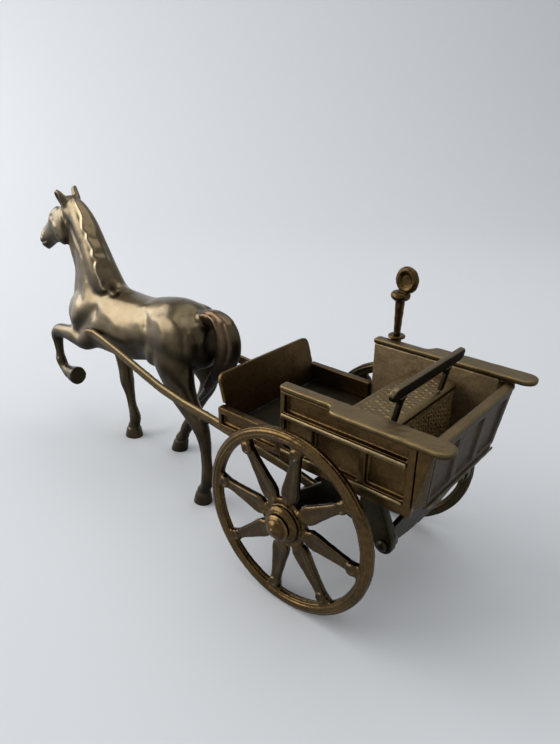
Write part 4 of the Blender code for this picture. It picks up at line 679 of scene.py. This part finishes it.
def mark_tones(mesh):
    """Records on each point how much it belongs to the hair, and how dark it is toned: painted shade on the
    legs, lower haunch, rear-facing parts, croup, brow, eye and withers hollow, and a darker tone on the
    muzzle's lower front and the ear tips.
    """
    points, normals = read_points(mesh)
    x, y, z = points.T
    tail = np.clip(2.2 * nearness(points, TAIL_LINE, 7.0) - 0.35, 0, 1)
    tail *= ramp(x, -101, -97) * (np.abs(y) < 10)
    inward, _ = side_distance(points[:, [0, 2]], curved(MANE_EDGE, 6))
    mane = ramp(inward, 0, 1.2) * ramp(inward, 9, 5) * ramp(y, 1, -2)
    mane *= (z > 101) & (x > -214) & (x < -160)
    hair = np.clip(tail + 0.3 * mane, 0, 1)
    # Painted shade: darker towards the bottom of the legs and the lower haunch, on rear-facing parts, over
    # the croup, on the brow, round the eye and in the withers hollow. The muzzle's lower front and the ear
    # tips are darker too.
    legs = ramp(z, 84, 58) * 0.8
    haunch = ramp(z, 107, 81) * ramp(x, -128, -112) * 0.85
    behind = ramp(normals[:, 0], 0.1, 0.6) * ramp(x, -130, -105) * 0.7
    croup = ramp(x, -128, -112) * 0.3 + 0.06
    muzzle = ramp(z, 129, 124) * ramp(x, -244, -249) * 0.8
    eye = nearness(points, [(-234.4, -5.4, 146.2), (-238, -4.6, 145)], 1.5) * 0.9
    ears = ramp(z, 154, 158) * 0.45
    brow = nearness(points, [(-232, -3, 147), (-236, -2.6, 145.6)], 5.0) * 0.45
    hollow = nearness(points, [(-177, -5.6, 109.6), (-172, -6, 105.8)], 2.6) * 0.85
    patina = np.max([legs, haunch, behind, croup, muzzle, eye, ears, brow, hollow], axis=0)
    patina *= 1 - tail * 0.7
    worn = 0.8 * np.exp(-((inward - 0.7) / 0.65) ** 2) * (z > 108) * (x > -209) * (y < 0)
    for line, width, amount in WORN_RIDGES:
        worn = np.maximum(worn, amount * nearness(points, curved(line, 4), width))
    record(mesh, "hair", hair)
    record(mesh, "patina", patina)
    record(mesh, "worn", worn)


TAIL_STROKES = (
    ([(-92, -4.4, 109.6), (-87.7, -5, 108.4), (-84.6, -5.8, 104), (-83.6, -6, 97.5), (-85.2, -5.6, 90.5),
      (-88.1, -4.6, 83.3), (-93, -3.5, 74.6), (-98.6, -2.9, 65)], 0.9, 0.9, False),
    ([(-88, -4.4, 103.6), (-86.6, -5.2, 97.5), (-87.8, -5, 90.5), (-91, -4.2, 82.6),
      (-96, -3, 73)], 1.0, -0.8, False),
    ([(-81.4, -3.6, 107.4), (-78.4, -4.6, 101.6), (-77.2, -4.6, 94.6),
      (-79.4, -4.4, 86.4)], 0.8, -0.55, False),
    ([(-79, -0.6, 107.6), (-75, -0.8, 101.4), (-73.8, -0.9, 94.9), (-75.8, -0.8, 87)], 1.1, 0.45, False),
    ([(-79, 2.6, 106.6), (-75.2, 3, 100), (-74.6, 3, 94), (-77, 3, 86)], 0.8, -0.5, False),
    ([(-99, -3.4, 108.4), (-95, -3.9, 109.6)], 0.9, 0.6, False),
    ([(-104, -4.6, 106.4), (-101.4, -6, 103.6)], 1.6, -0.8, False),
)
MANE_STROKES = (
    ([(-201, -6.2, 143), (-196, -7.2, 138.5), (-191.6, -8.4, 130)], 0.8, -0.5),
    (LOCK_HIGH, 0.9, 0.55),
    (LOCK_MIDDLE, 0.8, 0.6, False),
    (LOCK_LOW, 1.2, 0.3, False),
    ([(-182.6, -8, 121), (-180, -8, 117)], 0.9, -0.5, False),
    ([(-178.4, -5.4, 111.6), (-175.4, -6, 107.6), (-171, -5.8, 105.4)], 2.2, -0.7, False),
)


def hoof_strokes():
    """Coronet grooves round the hooves, and tendon grooves along the cannons."""
    round_about = np.linspace(0, 2 * pi, 13)
    coronets = [[(x + 5.2 * cos(a), y + 4.9 * sin(a), z) for a in round_about]
                for x, y, z in ((-178.1, 3.8, 7.6), (-85.2, -18, 7.8), (-138.4, 12.5, 8.8))]
    coronets.append([(-223.8, -12 + 5.1 * sin(a), 38.9 + 5.3 * cos(a)) for a in round_about])
    strokes = [(coronet, 0.9, -0.7, False) for coronet in coronets]
    for side in (-1, 1):
        for line in ([(-182.2, 5.6 + 3 * side, 31), (-180, 5.1 + 2.8 * side, 21)],
                     [(-84.6, -17.4 + 3.3 * side, 41), (-83.4, -17.6 + 2.9 * side, 22)],
                     [(-121, 13 + 3.2 * side, 41), (-129.4, 13 + 3 * side, 26)],
                     [(-236.6, -11 + 3 * side, 59), (-236.2, -11 + 2.8 * side, 48)]):
            strokes.append((line, 1.0, -0.5, False))
    return strokes


class OrnamentHorse(PropertyGroup):
    """Sizes of the horse casting."""

    voxel: measure("Skin detail", "Size of the finest detail in the horse's skin, in mm", 0.71, 0.4, 2.0)
    smoothing: IntProperty(name="Smoothing", description="Passes that blend the muscles", default=9,
                           min=0, max=30)


class CastHorse(Operator):
    """Casts the horse with its muscles, mane, tail and hooves"""

    bl_idname = "ornament.cast_horse"
    bl_label = "Cast Horse"

    def execute(self, context):
        sizes = context.scene.ornament_horse
        mesh = one_skin(horse_forms(), sizes.voxel, sizes.smoothing)
        points, _ = read_points(mesh)
        body = (points[:, 2] > 58) & (points[:, 0] > -213) & (points[:, 0] < -99)
        body |= (points[:, 2] > 118) & (points[:, 0] < -205) & (points[:, 2] < 150)
        eased(mesh, body, 16)
        eased(mesh, body & (points[:, 0] > -213), 16)
        eased(mesh, (points[:, 0] < -221) & (points[:, 2] > 132) & (points[:, 2] < 153), 34)
        press(mesh, HORSE_STROKES)
        combed_mane(mesh)
        press(mesh, MANE_STROKES)
        press(mesh, TAIL_STROKES)
        press(mesh, hoof_strokes())
        uneven(mesh, 0.05, 9, 3)
        bm = bmesh.new()
        bm.from_mesh(mesh)
        relax(bm, bm.verts, 0.4)
        cut = bmesh.ops.bisect_plane(bm, geom=bm.verts[:] + bm.edges[:] + bm.faces[:], dist=0.001 * MM,
                                     plane_co=(0, 0, 0), plane_no=(0, 0, 1), clear_inner=True)
        rims = [item for item in cut["geom_cut"] if isinstance(item, bmesh.types.BMEdge)]
        bmesh.ops.holes_fill(bm, edges=rims, sides=0)
        bm.to_mesh(mesh)
        bm.free()
        mark_tones(mesh)
        make_piece("horse_casting", mesh, ["horse"], brass("horse"))
        return {"FINISHED"}


# Wheels


class OrnamentWheels(PropertyGroup):
    """Sizes of the wheel castings."""

    ridge: measure("Rim ridge", "Height of the ridges round the rim, in mm", 0.46, 0.0, 0.8)
    voxel: measure("Skin detail", "Size of the finest detail in a wheel, in mm", 0.4, 0.25, 1.0)
    spoke_turn: measure("Spoke turn", "Angle of the first spoke in degrees", 8.0, -360.0, 360.0)


def ridged_rim(ridge):
    """The rim's rounded section with fine ridges, turned to a ring."""
    half, depth, corner, ridges, count = 2.5, 3.1, 2.8, 10, 72
    profile = []
    for k in range(count):
        angle = 2 * pi * k / count
        squareness = (abs(cos(angle)) ** corner + abs(sin(angle)) ** corner) ** (-1 / corner)
        ripple = 1 - ridge / half * (0.5 - 0.5 * cos(ridges * angle))
        profile.append((half * squareness * ripple * sin(angle),
                        WHEEL_MM - depth + depth * squareness * ripple * cos(angle)))
    return ring_turned(profile, 128)


def on_wheel(radius, along, angle):
    """A place at an angle round the axle, in millimetres."""
    return radius * cos(angle), along, WHEEL_MM - radius * sin(angle)


def paddle(side):
    """One spoke along +X: a flat paddle with wide bevels, its waist at the hub and a foot at the rim."""
    hub, inner = 9.2, WHEEL_MM - 6.2
    widths = [(hub * 0.5, 2.4), (hub - 0.4, 2.4), (hub + 0.8, 2.5), (hub + 2.8, 3.3), (hub + 5.2, 4.5),
              (hub + 8.4, 4.5), (hub + 13.5, 3.7), (inner - 8.5, 2.7), (inner - 4.6, 2.5), (inner - 1, 3.2),
              (inner + 1.6, 4.1)]
    bm = bmesh.new()
    low = [bm.verts.new((x * MM, -1.8 * MM, -half * MM)) for x, half in widths]
    low += [bm.verts.new((x * MM, -1.8 * MM, half * MM)) for x, half in reversed(widths)]
    face = bm.faces.new(low)
    grown = bmesh.ops.extrude_face_region(bm, geom=[face])
    bmesh.ops.translate(bm, verts=new_verts(grown), vec=(0, 3.6 * MM, 0))
    bmesh.ops.recalc_face_normals(bm, faces=bm.faces)
    rim_edges = [edge for edge in bm.edges if edge.calc_face_angle(0) > 1.2 and len(edge.link_faces) == 2
                 and any(len(f.verts) > 4 for f in edge.link_faces)]
    bmesh.ops.bevel(bm, geom=rim_edges, offset=1.15 * MM, segments=2, profile=0.5, affect="EDGES",
                    material=-1, clamp_overlap=True)
    ring = [(1.6, 1.3), (2.3, 1.5), (2.62, 1.9), (2.62, 2.3), (2.3, 2.7), (1.6, 2.9)]
    for profile in (ring, [(0, 0), (0, 3.1), (1.8, 3.0), (2.1, 2.6), (2.1, 0)]):
        closed = profile[0][1] > 0
        boss = ring_turned([(along * side, radius) for along, radius in profile], 28, closed)
        bmesh.ops.translate(boss, verts=boss.verts, vec=((inner - 2.8) * MM, 0, 0))
        bm = joined([bm, boss])
    return bm


def nave(side):
    """The hub's barrel with its stepped front disc."""
    half, bore = 5.4, 3.3
    steps = [(-half, bore), (-half, 6.6), (-half + 0.5, 7.1), (-half + 1.2, 7.2), (-half + 1.6, 8.3),
             (-half + 2.4, 8.7), (-1.7, 8.8), (-1.5, 11.6), (-0.8, 12.2), (0.8, 12.2), (1.5, 11.6),
             (1.7, 9.0), (half - 2.2, 9.2), (half - 1.5, 8.9), (half - 1.35, 8.1), (half - 0.9, 8.3),
             (half - 0.5, 7.9), (half - 0.45, 7.1), (half, 6.9), (half, bore)]
    return ring_turned([(along * side, radius) for along, radius in steps], 72)


class CastWheels(Operator):
    """Casts both wheels with ridged rims, paddle spokes and stepped hubs"""

    bl_idname = "ornament.cast_wheels"
    bl_label = "Cast Wheels"

    def execute(self, context):
        sizes = context.scene.ornament_wheels
        turns = [radians(sizes.spoke_turn + 360 / SPOKES * k) for k in range(SPOKES)]
        for name, side in (("wheel_left", -1), ("wheel_right", 1)):
            low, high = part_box(name)
            centre = (Vector(low) + Vector(high)) / 2
            parts = [ridged_rim(sizes.ridge), nave(side)]
            for angle in turns:
                spoke = paddle(side)
                bmesh.ops.transform(spoke, matrix=Matrix.Rotation(angle, 4, "Y"), verts=spoke.verts)
                parts.append(spoke)
            bm = joined(parts)
            bmesh.ops.translate(bm, verts=bm.verts, vec=(AXLE_X, centre.y, WHEEL_RADIUS))
            mesh = one_skin(bm, sizes.voxel, 1, 0.4)
            uneven(mesh, 0.04, 6, 11)
            face = centre.y / MM + side * 1.8
            strokes = [([on_wheel(radius, face, angle) for radius in (16.5, 21, 26, 30)], 1.7, -0.4, False)
                       for angle in turns]
            for k in range(2 * SPOKES):
                angle = radians(sizes.spoke_turn + 180 / SPOKES * k + 9 * sin(k * 2.1))
                strokes.append(([on_wheel(11.2, face, angle)], 1.1, 0.55, False))
            press(mesh, strokes)
            points, _ = read_points(mesh)
            outward = np.hypot(points[:, 0], points[:, 2] - WHEEL_MM)
            shrink = np.minimum(1, (WHEEL_MM - 0.01) / np.maximum(outward, 1e-6))
            points[:, 0] *= shrink
            points[:, 2] = WHEEL_MM + (points[:, 2] - WHEEL_MM) * shrink
            write_points(mesh, points)
            record(mesh, "patina", 0.6 * ramp(outward, 13, 15) * ramp(outward, 39.6, 38.1))
            # The far wheel takes a darker copy of the wheel's brass, as painted shade.
            make_piece(name + "_casting", mesh, [name], brass("wheel" if side < 0 else "shaded far wheel"))
        return {"FINISHED"}


class DressHubs(Operator):
    """Turns the domed hub caps and the collars behind the hubs"""

    bl_idname = "ornament.dress_hubs"
    bl_label = "Dress Hubs"

    def execute(self, context):
        for name, side in (("hub_cap_left", -1), ("hub_cap_right", 1)):
            seat, tip = sorted((corner[1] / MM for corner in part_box(name)), key=abs)
            tall = abs(tip - seat)
            profile = [(0, 0), (0, 6.1), (0.35, 6.2), (0.75, 6.0), (0.85, 5.3), (1.2, 5.2), (1.35, 4.75)]
            for k in range(1, 13):
                angle = pi / 2 * k / 14
                profile.append((1.35 + (tall - 1.7) * sin(angle), 4.7 * cos(angle)))
            profile += [(tall - 0.3, 1.05), (tall - 0.1, 0.9), (tall, 0.5), (tall, 0)]
            bm = ring_turned([(seat + side * along, radius) for along, radius in profile], 72, closed=False)
            bmesh.ops.translate(bm, verts=bm.verts, vec=(AXLE_X, 0, WHEEL_RADIUS))
            bmesh.ops.recalc_face_normals(bm, faces=bm.faces)
            make_piece(name + "_turned", mesh_of(bm, name), [name], brass("wheel"))
        for name in ("hub_washer_left", "hub_washer_right"):
            cast_node(name, brass("shaded"), 0.35, 1)
        return {"FINISHED"}


# Cart


class OrnamentCart(PropertyGroup):
    """Sizes of the cart's castings."""

    voxel: measure("Skin detail", "Size of the finest detail in the cart, in mm", 0.42, 0.3, 1.5)
    tuft_pitch: measure("Seat stud spacing", "Distance between the seat's studs, in mm", 3.1, 1.5, 8.0)
    tuft_height: measure("Seat stud height", "Height of the seat's studs, in mm", 0.42, 0.0, 0.7)
    wobble: measure("Unevenness", "How far the cast faces wander, in mm", 0.05, 0.0, 0.4)


class CastRows:
    """Casts a step's rows: a node or the stem of a pair, its finish, and what differs from the usual."""

    def execute(self, context):
        sizes = context.scene.ornament_cart
        for stem, finish, *own in self.rows:
            how = {"voxel": sizes.voxel, "smoothing": 2, "unevenness": 1.0, "reach": 7.0}
            how.update(*own)
            wobble = sizes.wobble * how.pop("unevenness")
            for side in (("left", "right") if stem.endswith("_") else ("",)):
                cast_node(stem + side, brass(finish), wobble=wobble, **how)
        return {"FINISHED"}


class CastSides(CastRows, Operator):
    """Casts the panelled sides of the cart and its corner posts"""

    bl_idname = "ornament.cast_sides"
    bl_label = "Cast Sides"
    # The right side takes the lightened inside finish, as painted light on its shaded inner face.
    rows = (("side_panel_left", "panel"), ("side_panel_right", "inside"), ("corner_post_", "panel"))


class CastMouldings(CastRows, Operator):
    """Casts the strips along the cart's sides"""

    bl_idname = "ornament.cast_mouldings"
    bl_label = "Cast Mouldings"
    rows = (("waist_moulding_", "rail"), ("base_moulding_", "rail"))


class CastRails(CastRows, Operator):
    """Casts the flat rails on top of the sides"""

    bl_idname = "ornament.cast_rails"
    bl_label = "Cast Rails"
    rows = (("side_rail_", "rail"),)


class CastTailgate(CastRows, Operator):
    """Casts the leaning tailgate with its cap rail and foot strip"""

    bl_idname = "ornament.cast_tailgate"
    bl_label = "Cast Tailgate"
    # The tailgate and its foot strip take the darkened back finish, as painted shade.
    rows = (("tailgate", "back"), ("tailgate_rail", "rail"), ("tailgate_moulding", "back"))


class CastFootwell(CastRows, Operator):
    """Casts the footwell's low walls, the dashboard and both floors"""

    bl_idname = "ornament.cast_footwell"
    bl_label = "Cast Footwell"
    rows = (("footwell_side_", "panel"), ("dashboard", "panel", {"smoothing": 3, "unevenness": 0.5}),
            ("footboard", "shaded"), ("trunk_floor", "panel"))


def tufted_seat(pitch, height):
    """The seat's board: rows of small raised studs inside a plain border, and a rounded rear edge."""
    low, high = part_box("seat_board")
    deep, wide = high[0] - low[0], high[1] - low[1]
    bm = bmesh.new()
    step = 0.36 * MM
    bmesh.ops.create_grid(bm, x_segments=int(deep / step), y_segments=int(wide / step), size=0.5)
    rest = high[2] - 0.7 * MM
    for vert in bm.verts:
        along, across = (vert.co.x + 0.5) * deep / MM, (vert.co.y + 0.5) * wide / MM
        edge = min(along, deep / MM - along, across, wide / MM - across)
        row = along / (pitch * 0.86)
        place = across / pitch - 0.5 * (round(row) % 2)
        stud = Vector(((row - round(row)) * 0.86, place - round(place))).length
        worn = 0.62 + 0.38 * sin(1.9 * round(row) + 2.3 * round(place))
        bump = worn * max(0.0, 1 - (stud / 0.4) ** 2) * min(1.0, max(0.0, (edge - 2.2) / 0.8))
        border = 0.25 if 0.5 < along < 1.7 else 0.0
        fall = max(0.0, along - deep / MM + 2.4) ** 2 * 0.16
        vert.co = (low[0] + along * MM, low[1] + across * MM, rest + (height * bump + border - fall) * MM)
    grown = bmesh.ops.extrude_face_region(bm, geom=bm.faces[:])
    for vert in new_verts(grown):
        vert.co.z = low[2]
    bmesh.ops.recalc_face_normals(bm, faces=bm.faces)
    mesh = mesh_of(bm, "seat")
    uneven(mesh, 0.03, 5, 9)
    return mesh


class CastSeat(CastRows, Operator):
    """Casts the tufted seat, its panels and the backrest"""

    bl_idname = "ornament.cast_seat"
    bl_label = "Cast Seat"
    thin = {"voxel": 0.26, "smoothing": 1, "unevenness": 0.6}
    rows = (("seat_front_panel", "panel"),
            # The seat's rear panel takes the rough finish: rough-cast specks, lightened as painted light.
            ("seat_rear_panel", "rough", {"smoothing": 1, "unevenness": 4.4, "reach": 1.8}),
            ("backrest_rail", "frame", thin), ("backrest_strut_", "frame", thin))

    def execute(self, context):
        sizes = context.scene.ornament_cart
        mesh = tufted_seat(sizes.tuft_pitch, sizes.tuft_height)
        make_piece("seat_board_casting", mesh, ["seat_board"], brass("rail"))
        return super().execute(context)


class CastShafts(CastRows, Operator):
    """Casts both shafts, and finishes the rod that they hang on"""

    bl_idname = "ornament.cast_shafts"
    bl_label = "Cast Shafts"
    rows = (("shaft_", "rail"), ("shaft_pin", "shaded", {"voxel": 0.34, "smoothing": 1, "unevenness": 0.0}))


class CastRunningGear(CastRows, Operator):
    """Casts the axle, its brackets, and the rear hangers with their bolts and cross bar"""

    bl_idname = "ornament.cast_running_gear"
    bl_label = "Cast Running Gear"
    rows = (("axle_bracket_", "shaded"), ("rear_hanger_", "shaded"), ("hanger_bolt_", "shaded"),
            ("axle", "shaded"), ("rear_cross_bar", "shaded"))


class CastWhip(CastRows, Operator):
    """Casts the whip and the socket that it stands in"""

    bl_idname = "ornament.cast_whip"
    bl_label = "Cast Whip"
    rows = (("whip", "panel", {"voxel": 0.3, "unevenness": 1.2, "reach": 4}),
            ("whip_socket", "panel", {"voxel": 0.3, "smoothing": 1, "unevenness": 0.8, "reach": 4}))


# Stage


class OrnamentFinish(PropertyGroup):
    """Colours of the brass."""

    horse_brass: tint("Horse", "Clean brass of the horse", FINISHES["horse"][0])
    tail_brass: tint("Hair", "Brass of the tail and mane", FINISHES["tail"][0])
    rail_brass: tint("Rails", "Clean brass of the rails, seat and shafts", FINISHES["rail"][0])
    wheel_brass: tint("Wheels", "Clean brass of the near wheel and the hubs", FINISHES["wheel"][0])
    panel_brass: tint("Panels", "Clean brass of the body's outside", FINISHES["panel"][0])
    # The inside tint is lightened as painted light on the body's shaded inner face.
    inside_brass: tint("Inside", "Dull brass inside the body", FINISHES["inside"][0])


class OrnamentStage(PropertyGroup):
    """Camera, lights and floor."""

    azimuth: measure("Azimuth", "Direction the camera looks from", 0.69290, -pi, pi, subtype="ANGLE")
    elevation: measure("Elevation", "Height of the view above the horizon", 0.42304, -pi, pi, subtype="ANGLE")
    roll: measure("Roll", "Lean of the camera", 0.01945, -pi, pi, subtype="ANGLE")
    focal: measure("Focal length", "Lens length in mm", 30.307, 10, 200)
    aim: FloatVectorProperty(name="Aim", default=(-0.74453, 2.03367, 7.21714), size=3,
                             description="Camera place across, up and back from the axle, in wheel radii")
    key: measure("Key light", "Power of the window light", 30.0, 0, 1000, subtype="POWER")
    fill: measure("Fill light", "Power of the soft overhead light", 7.0, 0, 1000, subtype="POWER")
    ambient: measure("Room light", "Strength of the light from all round", 0.62, 0.0, 2.0)
    backdrop: measure("Backdrop distance", "Where the floor starts to rise", 0.75, 0.4, 3.0,
                      subtype="DISTANCE")
    floor: tint("Floor", "Colour of the floor", (0.62, 0.63, 0.65))
    surround: tint("Surround", "Colour of the room", (0.74, 0.77, 0.78))


def plain_material(name, colour, roughness):
    material = bpy.data.materials.new(name)
    material.use_nodes = True
    shader = material.node_tree.nodes["Principled BSDF"]
    shader.inputs["Base Color"].default_value = (*colour, 1)
    shader.inputs["Roughness"].default_value = roughness
    return material


def area_light(name, place, target, size, power):
    data = bpy.data.lights.new(name, "AREA")
    data.shape = "RECTANGLE"
    data.size, data.size_y = size
    data.energy = power
    lamp = bpy.data.objects.new(name, data)
    lamp.location = place
    lamp.rotation_euler = (Vector(target) - Vector(place)).to_track_quat("-Z", "Y").to_euler()
    bpy.context.scene.collection.objects.link(lamp)


def swept_floor(azimuth, distance, colour):
    """A pale floor that turns up into a backdrop behind the ornament, as seen by the camera."""
    bm = bmesh.new()
    reach, bend, top, steps = 4.0, 0.9, 4.5, 24
    profile = [(-reach, 0.0), (distance, 0.0)]
    for k in range(1, steps + 1):
        angle = pi / 2 * k / steps
        profile.append((distance + bend * sin(angle), bend * (1 - cos(angle))))
    profile.append((distance + bend, top))
    verts = [bm.verts.new((-reach, along, height)) for along, height in profile]
    edges = [bm.edges.new(pair) for pair in zip(verts, verts[1:])]
    grown = bmesh.ops.extrude_edge_only(bm, edges=edges)
    bmesh.ops.translate(bm, verts=new_verts(grown), vec=(2 * reach, 0, 0))
    bmesh.ops.rotate(bm, verts=bm.verts, cent=(0, 0, 0), matrix=Matrix.Rotation(azimuth, 3, "Z"))
    bmesh.ops.recalc_face_normals(bm, faces=bm.faces)
    mesh = mesh_of(bm, "floor")
    mesh.shade_smooth()
    mesh.materials.append(plain_material("Pale floor", colour, 0.9))
    return bpy.data.objects.new("floor", mesh)


class SetStage(Operator):
    """Sets the floor, the room's light and the camera"""

    bl_idname = "ornament.set_stage"
    bl_label = "Set Stage"

    def execute(self, context):
        scene, stage = context.scene, context.scene.ornament_stage
        floor = swept_floor(stage.azimuth, stage.backdrop, stage.floor)
        scene.collection.objects.link(floor)
        world = bpy.data.worlds.new("Room")
        world.use_nodes = True
        room = world.node_tree.nodes["Background"].inputs
        room["Color"].default_value = (*stage.surround, 1)
        room["Strength"].default_value = stage.ambient
        scene.world = world
        area_light("window", (-1.25, -0.75, 0.75), (-0.05, 0, 0.07), (1.9, 1.3), stage.key)
        area_light("overhead", (0.0, 0.3, 1.3), (0, 0, 0), (1.4, 1.4), stage.fill)
        az, el, roll = stage.azimuth, stage.elevation, stage.roll
        back = Vector((sin(az) * cos(el), -cos(az) * cos(el), sin(el)))
        right = Vector((cos(az), sin(az), 0))
        up = back.cross(right)
        across = right * cos(roll) + up * sin(roll)
        upward = up * cos(roll) - right * sin(roll)
        place = (back * stage.aim[2] + right * stage.aim[0] + up * stage.aim[1]) * WHEEL_RADIUS
        place.x += AXLE_X
        data = bpy.data.cameras.new("camera")
        data.lens = stage.focal
        data.sensor_width = 36
        data.clip_start = 0.01
        camera = bpy.data.objects.new("camera", data)
        turn = Matrix((across, upward, back)).transposed().to_4x4()
        camera.matrix_world = Matrix.Translation(place) @ turn
        scene.collection.objects.link(camera)
        scene.camera = camera
        scene.view_settings.view_transform = "Standard"
        return {"FINISHED"}


class OrnamentPanel(Panel):
    """Lists the ornament's castings and its stage"""

    bl_idname = "VIEW3D_PT_ornament"
    bl_label = "Brass Ornament"
    bl_space_type = "VIEW_3D"
    bl_region_type = "UI"
    bl_category = "Ornament"

    def draw(self, context):
        for name, group in GROUPS:
            for setting in group.__annotations__:
                self.layout.prop(getattr(context.scene, name), setting)
        for operator in OPERATORS:
            self.layout.operator(operator.bl_idname)


GROUPS = (("ornament_horse", OrnamentHorse), ("ornament_wheels", OrnamentWheels),
          ("ornament_cart", OrnamentCart), ("ornament_finish", OrnamentFinish),
          ("ornament_stage", OrnamentStage))
OPERATORS = (CastHorse, CastWheels, DressHubs, CastSides, CastMouldings, CastRails, CastTailgate,
             CastFootwell, CastSeat, CastShafts, CastRunningGear, CastWhip, SetStage)
CLASSES = (*(group for _, group in GROUPS), *OPERATORS, OrnamentPanel)


def register():
    for kind in CLASSES:
        bpy.utils.register_class(kind)
    for name, group in GROUPS:
        setattr(bpy.types.Scene, name, PointerProperty(type=group))


def unregister():
    for name, _ in GROUPS:
        delattr(bpy.types.Scene, name)
    for kind in reversed(CLASSES):
        bpy.utils.unregister_class(kind)


def main():
    register()
    bpy.ops.ornament.cast_horse()
    bpy.ops.ornament.cast_wheels()
    bpy.ops.ornament.dress_hubs()
    bpy.ops.ornament.cast_sides()
    bpy.ops.ornament.cast_mouldings()
    bpy.ops.ornament.cast_rails()
    bpy.ops.ornament.cast_tailgate()
    bpy.ops.ornament.cast_footwell()
    bpy.ops.ornament.cast_seat()
    bpy.ops.ornament.cast_shafts()
    bpy.ops.ornament.cast_running_gear()
    bpy.ops.ornament.cast_whip()
    bpy.ops.ornament.set_stage()


if __name__ == "__main__":
    main()
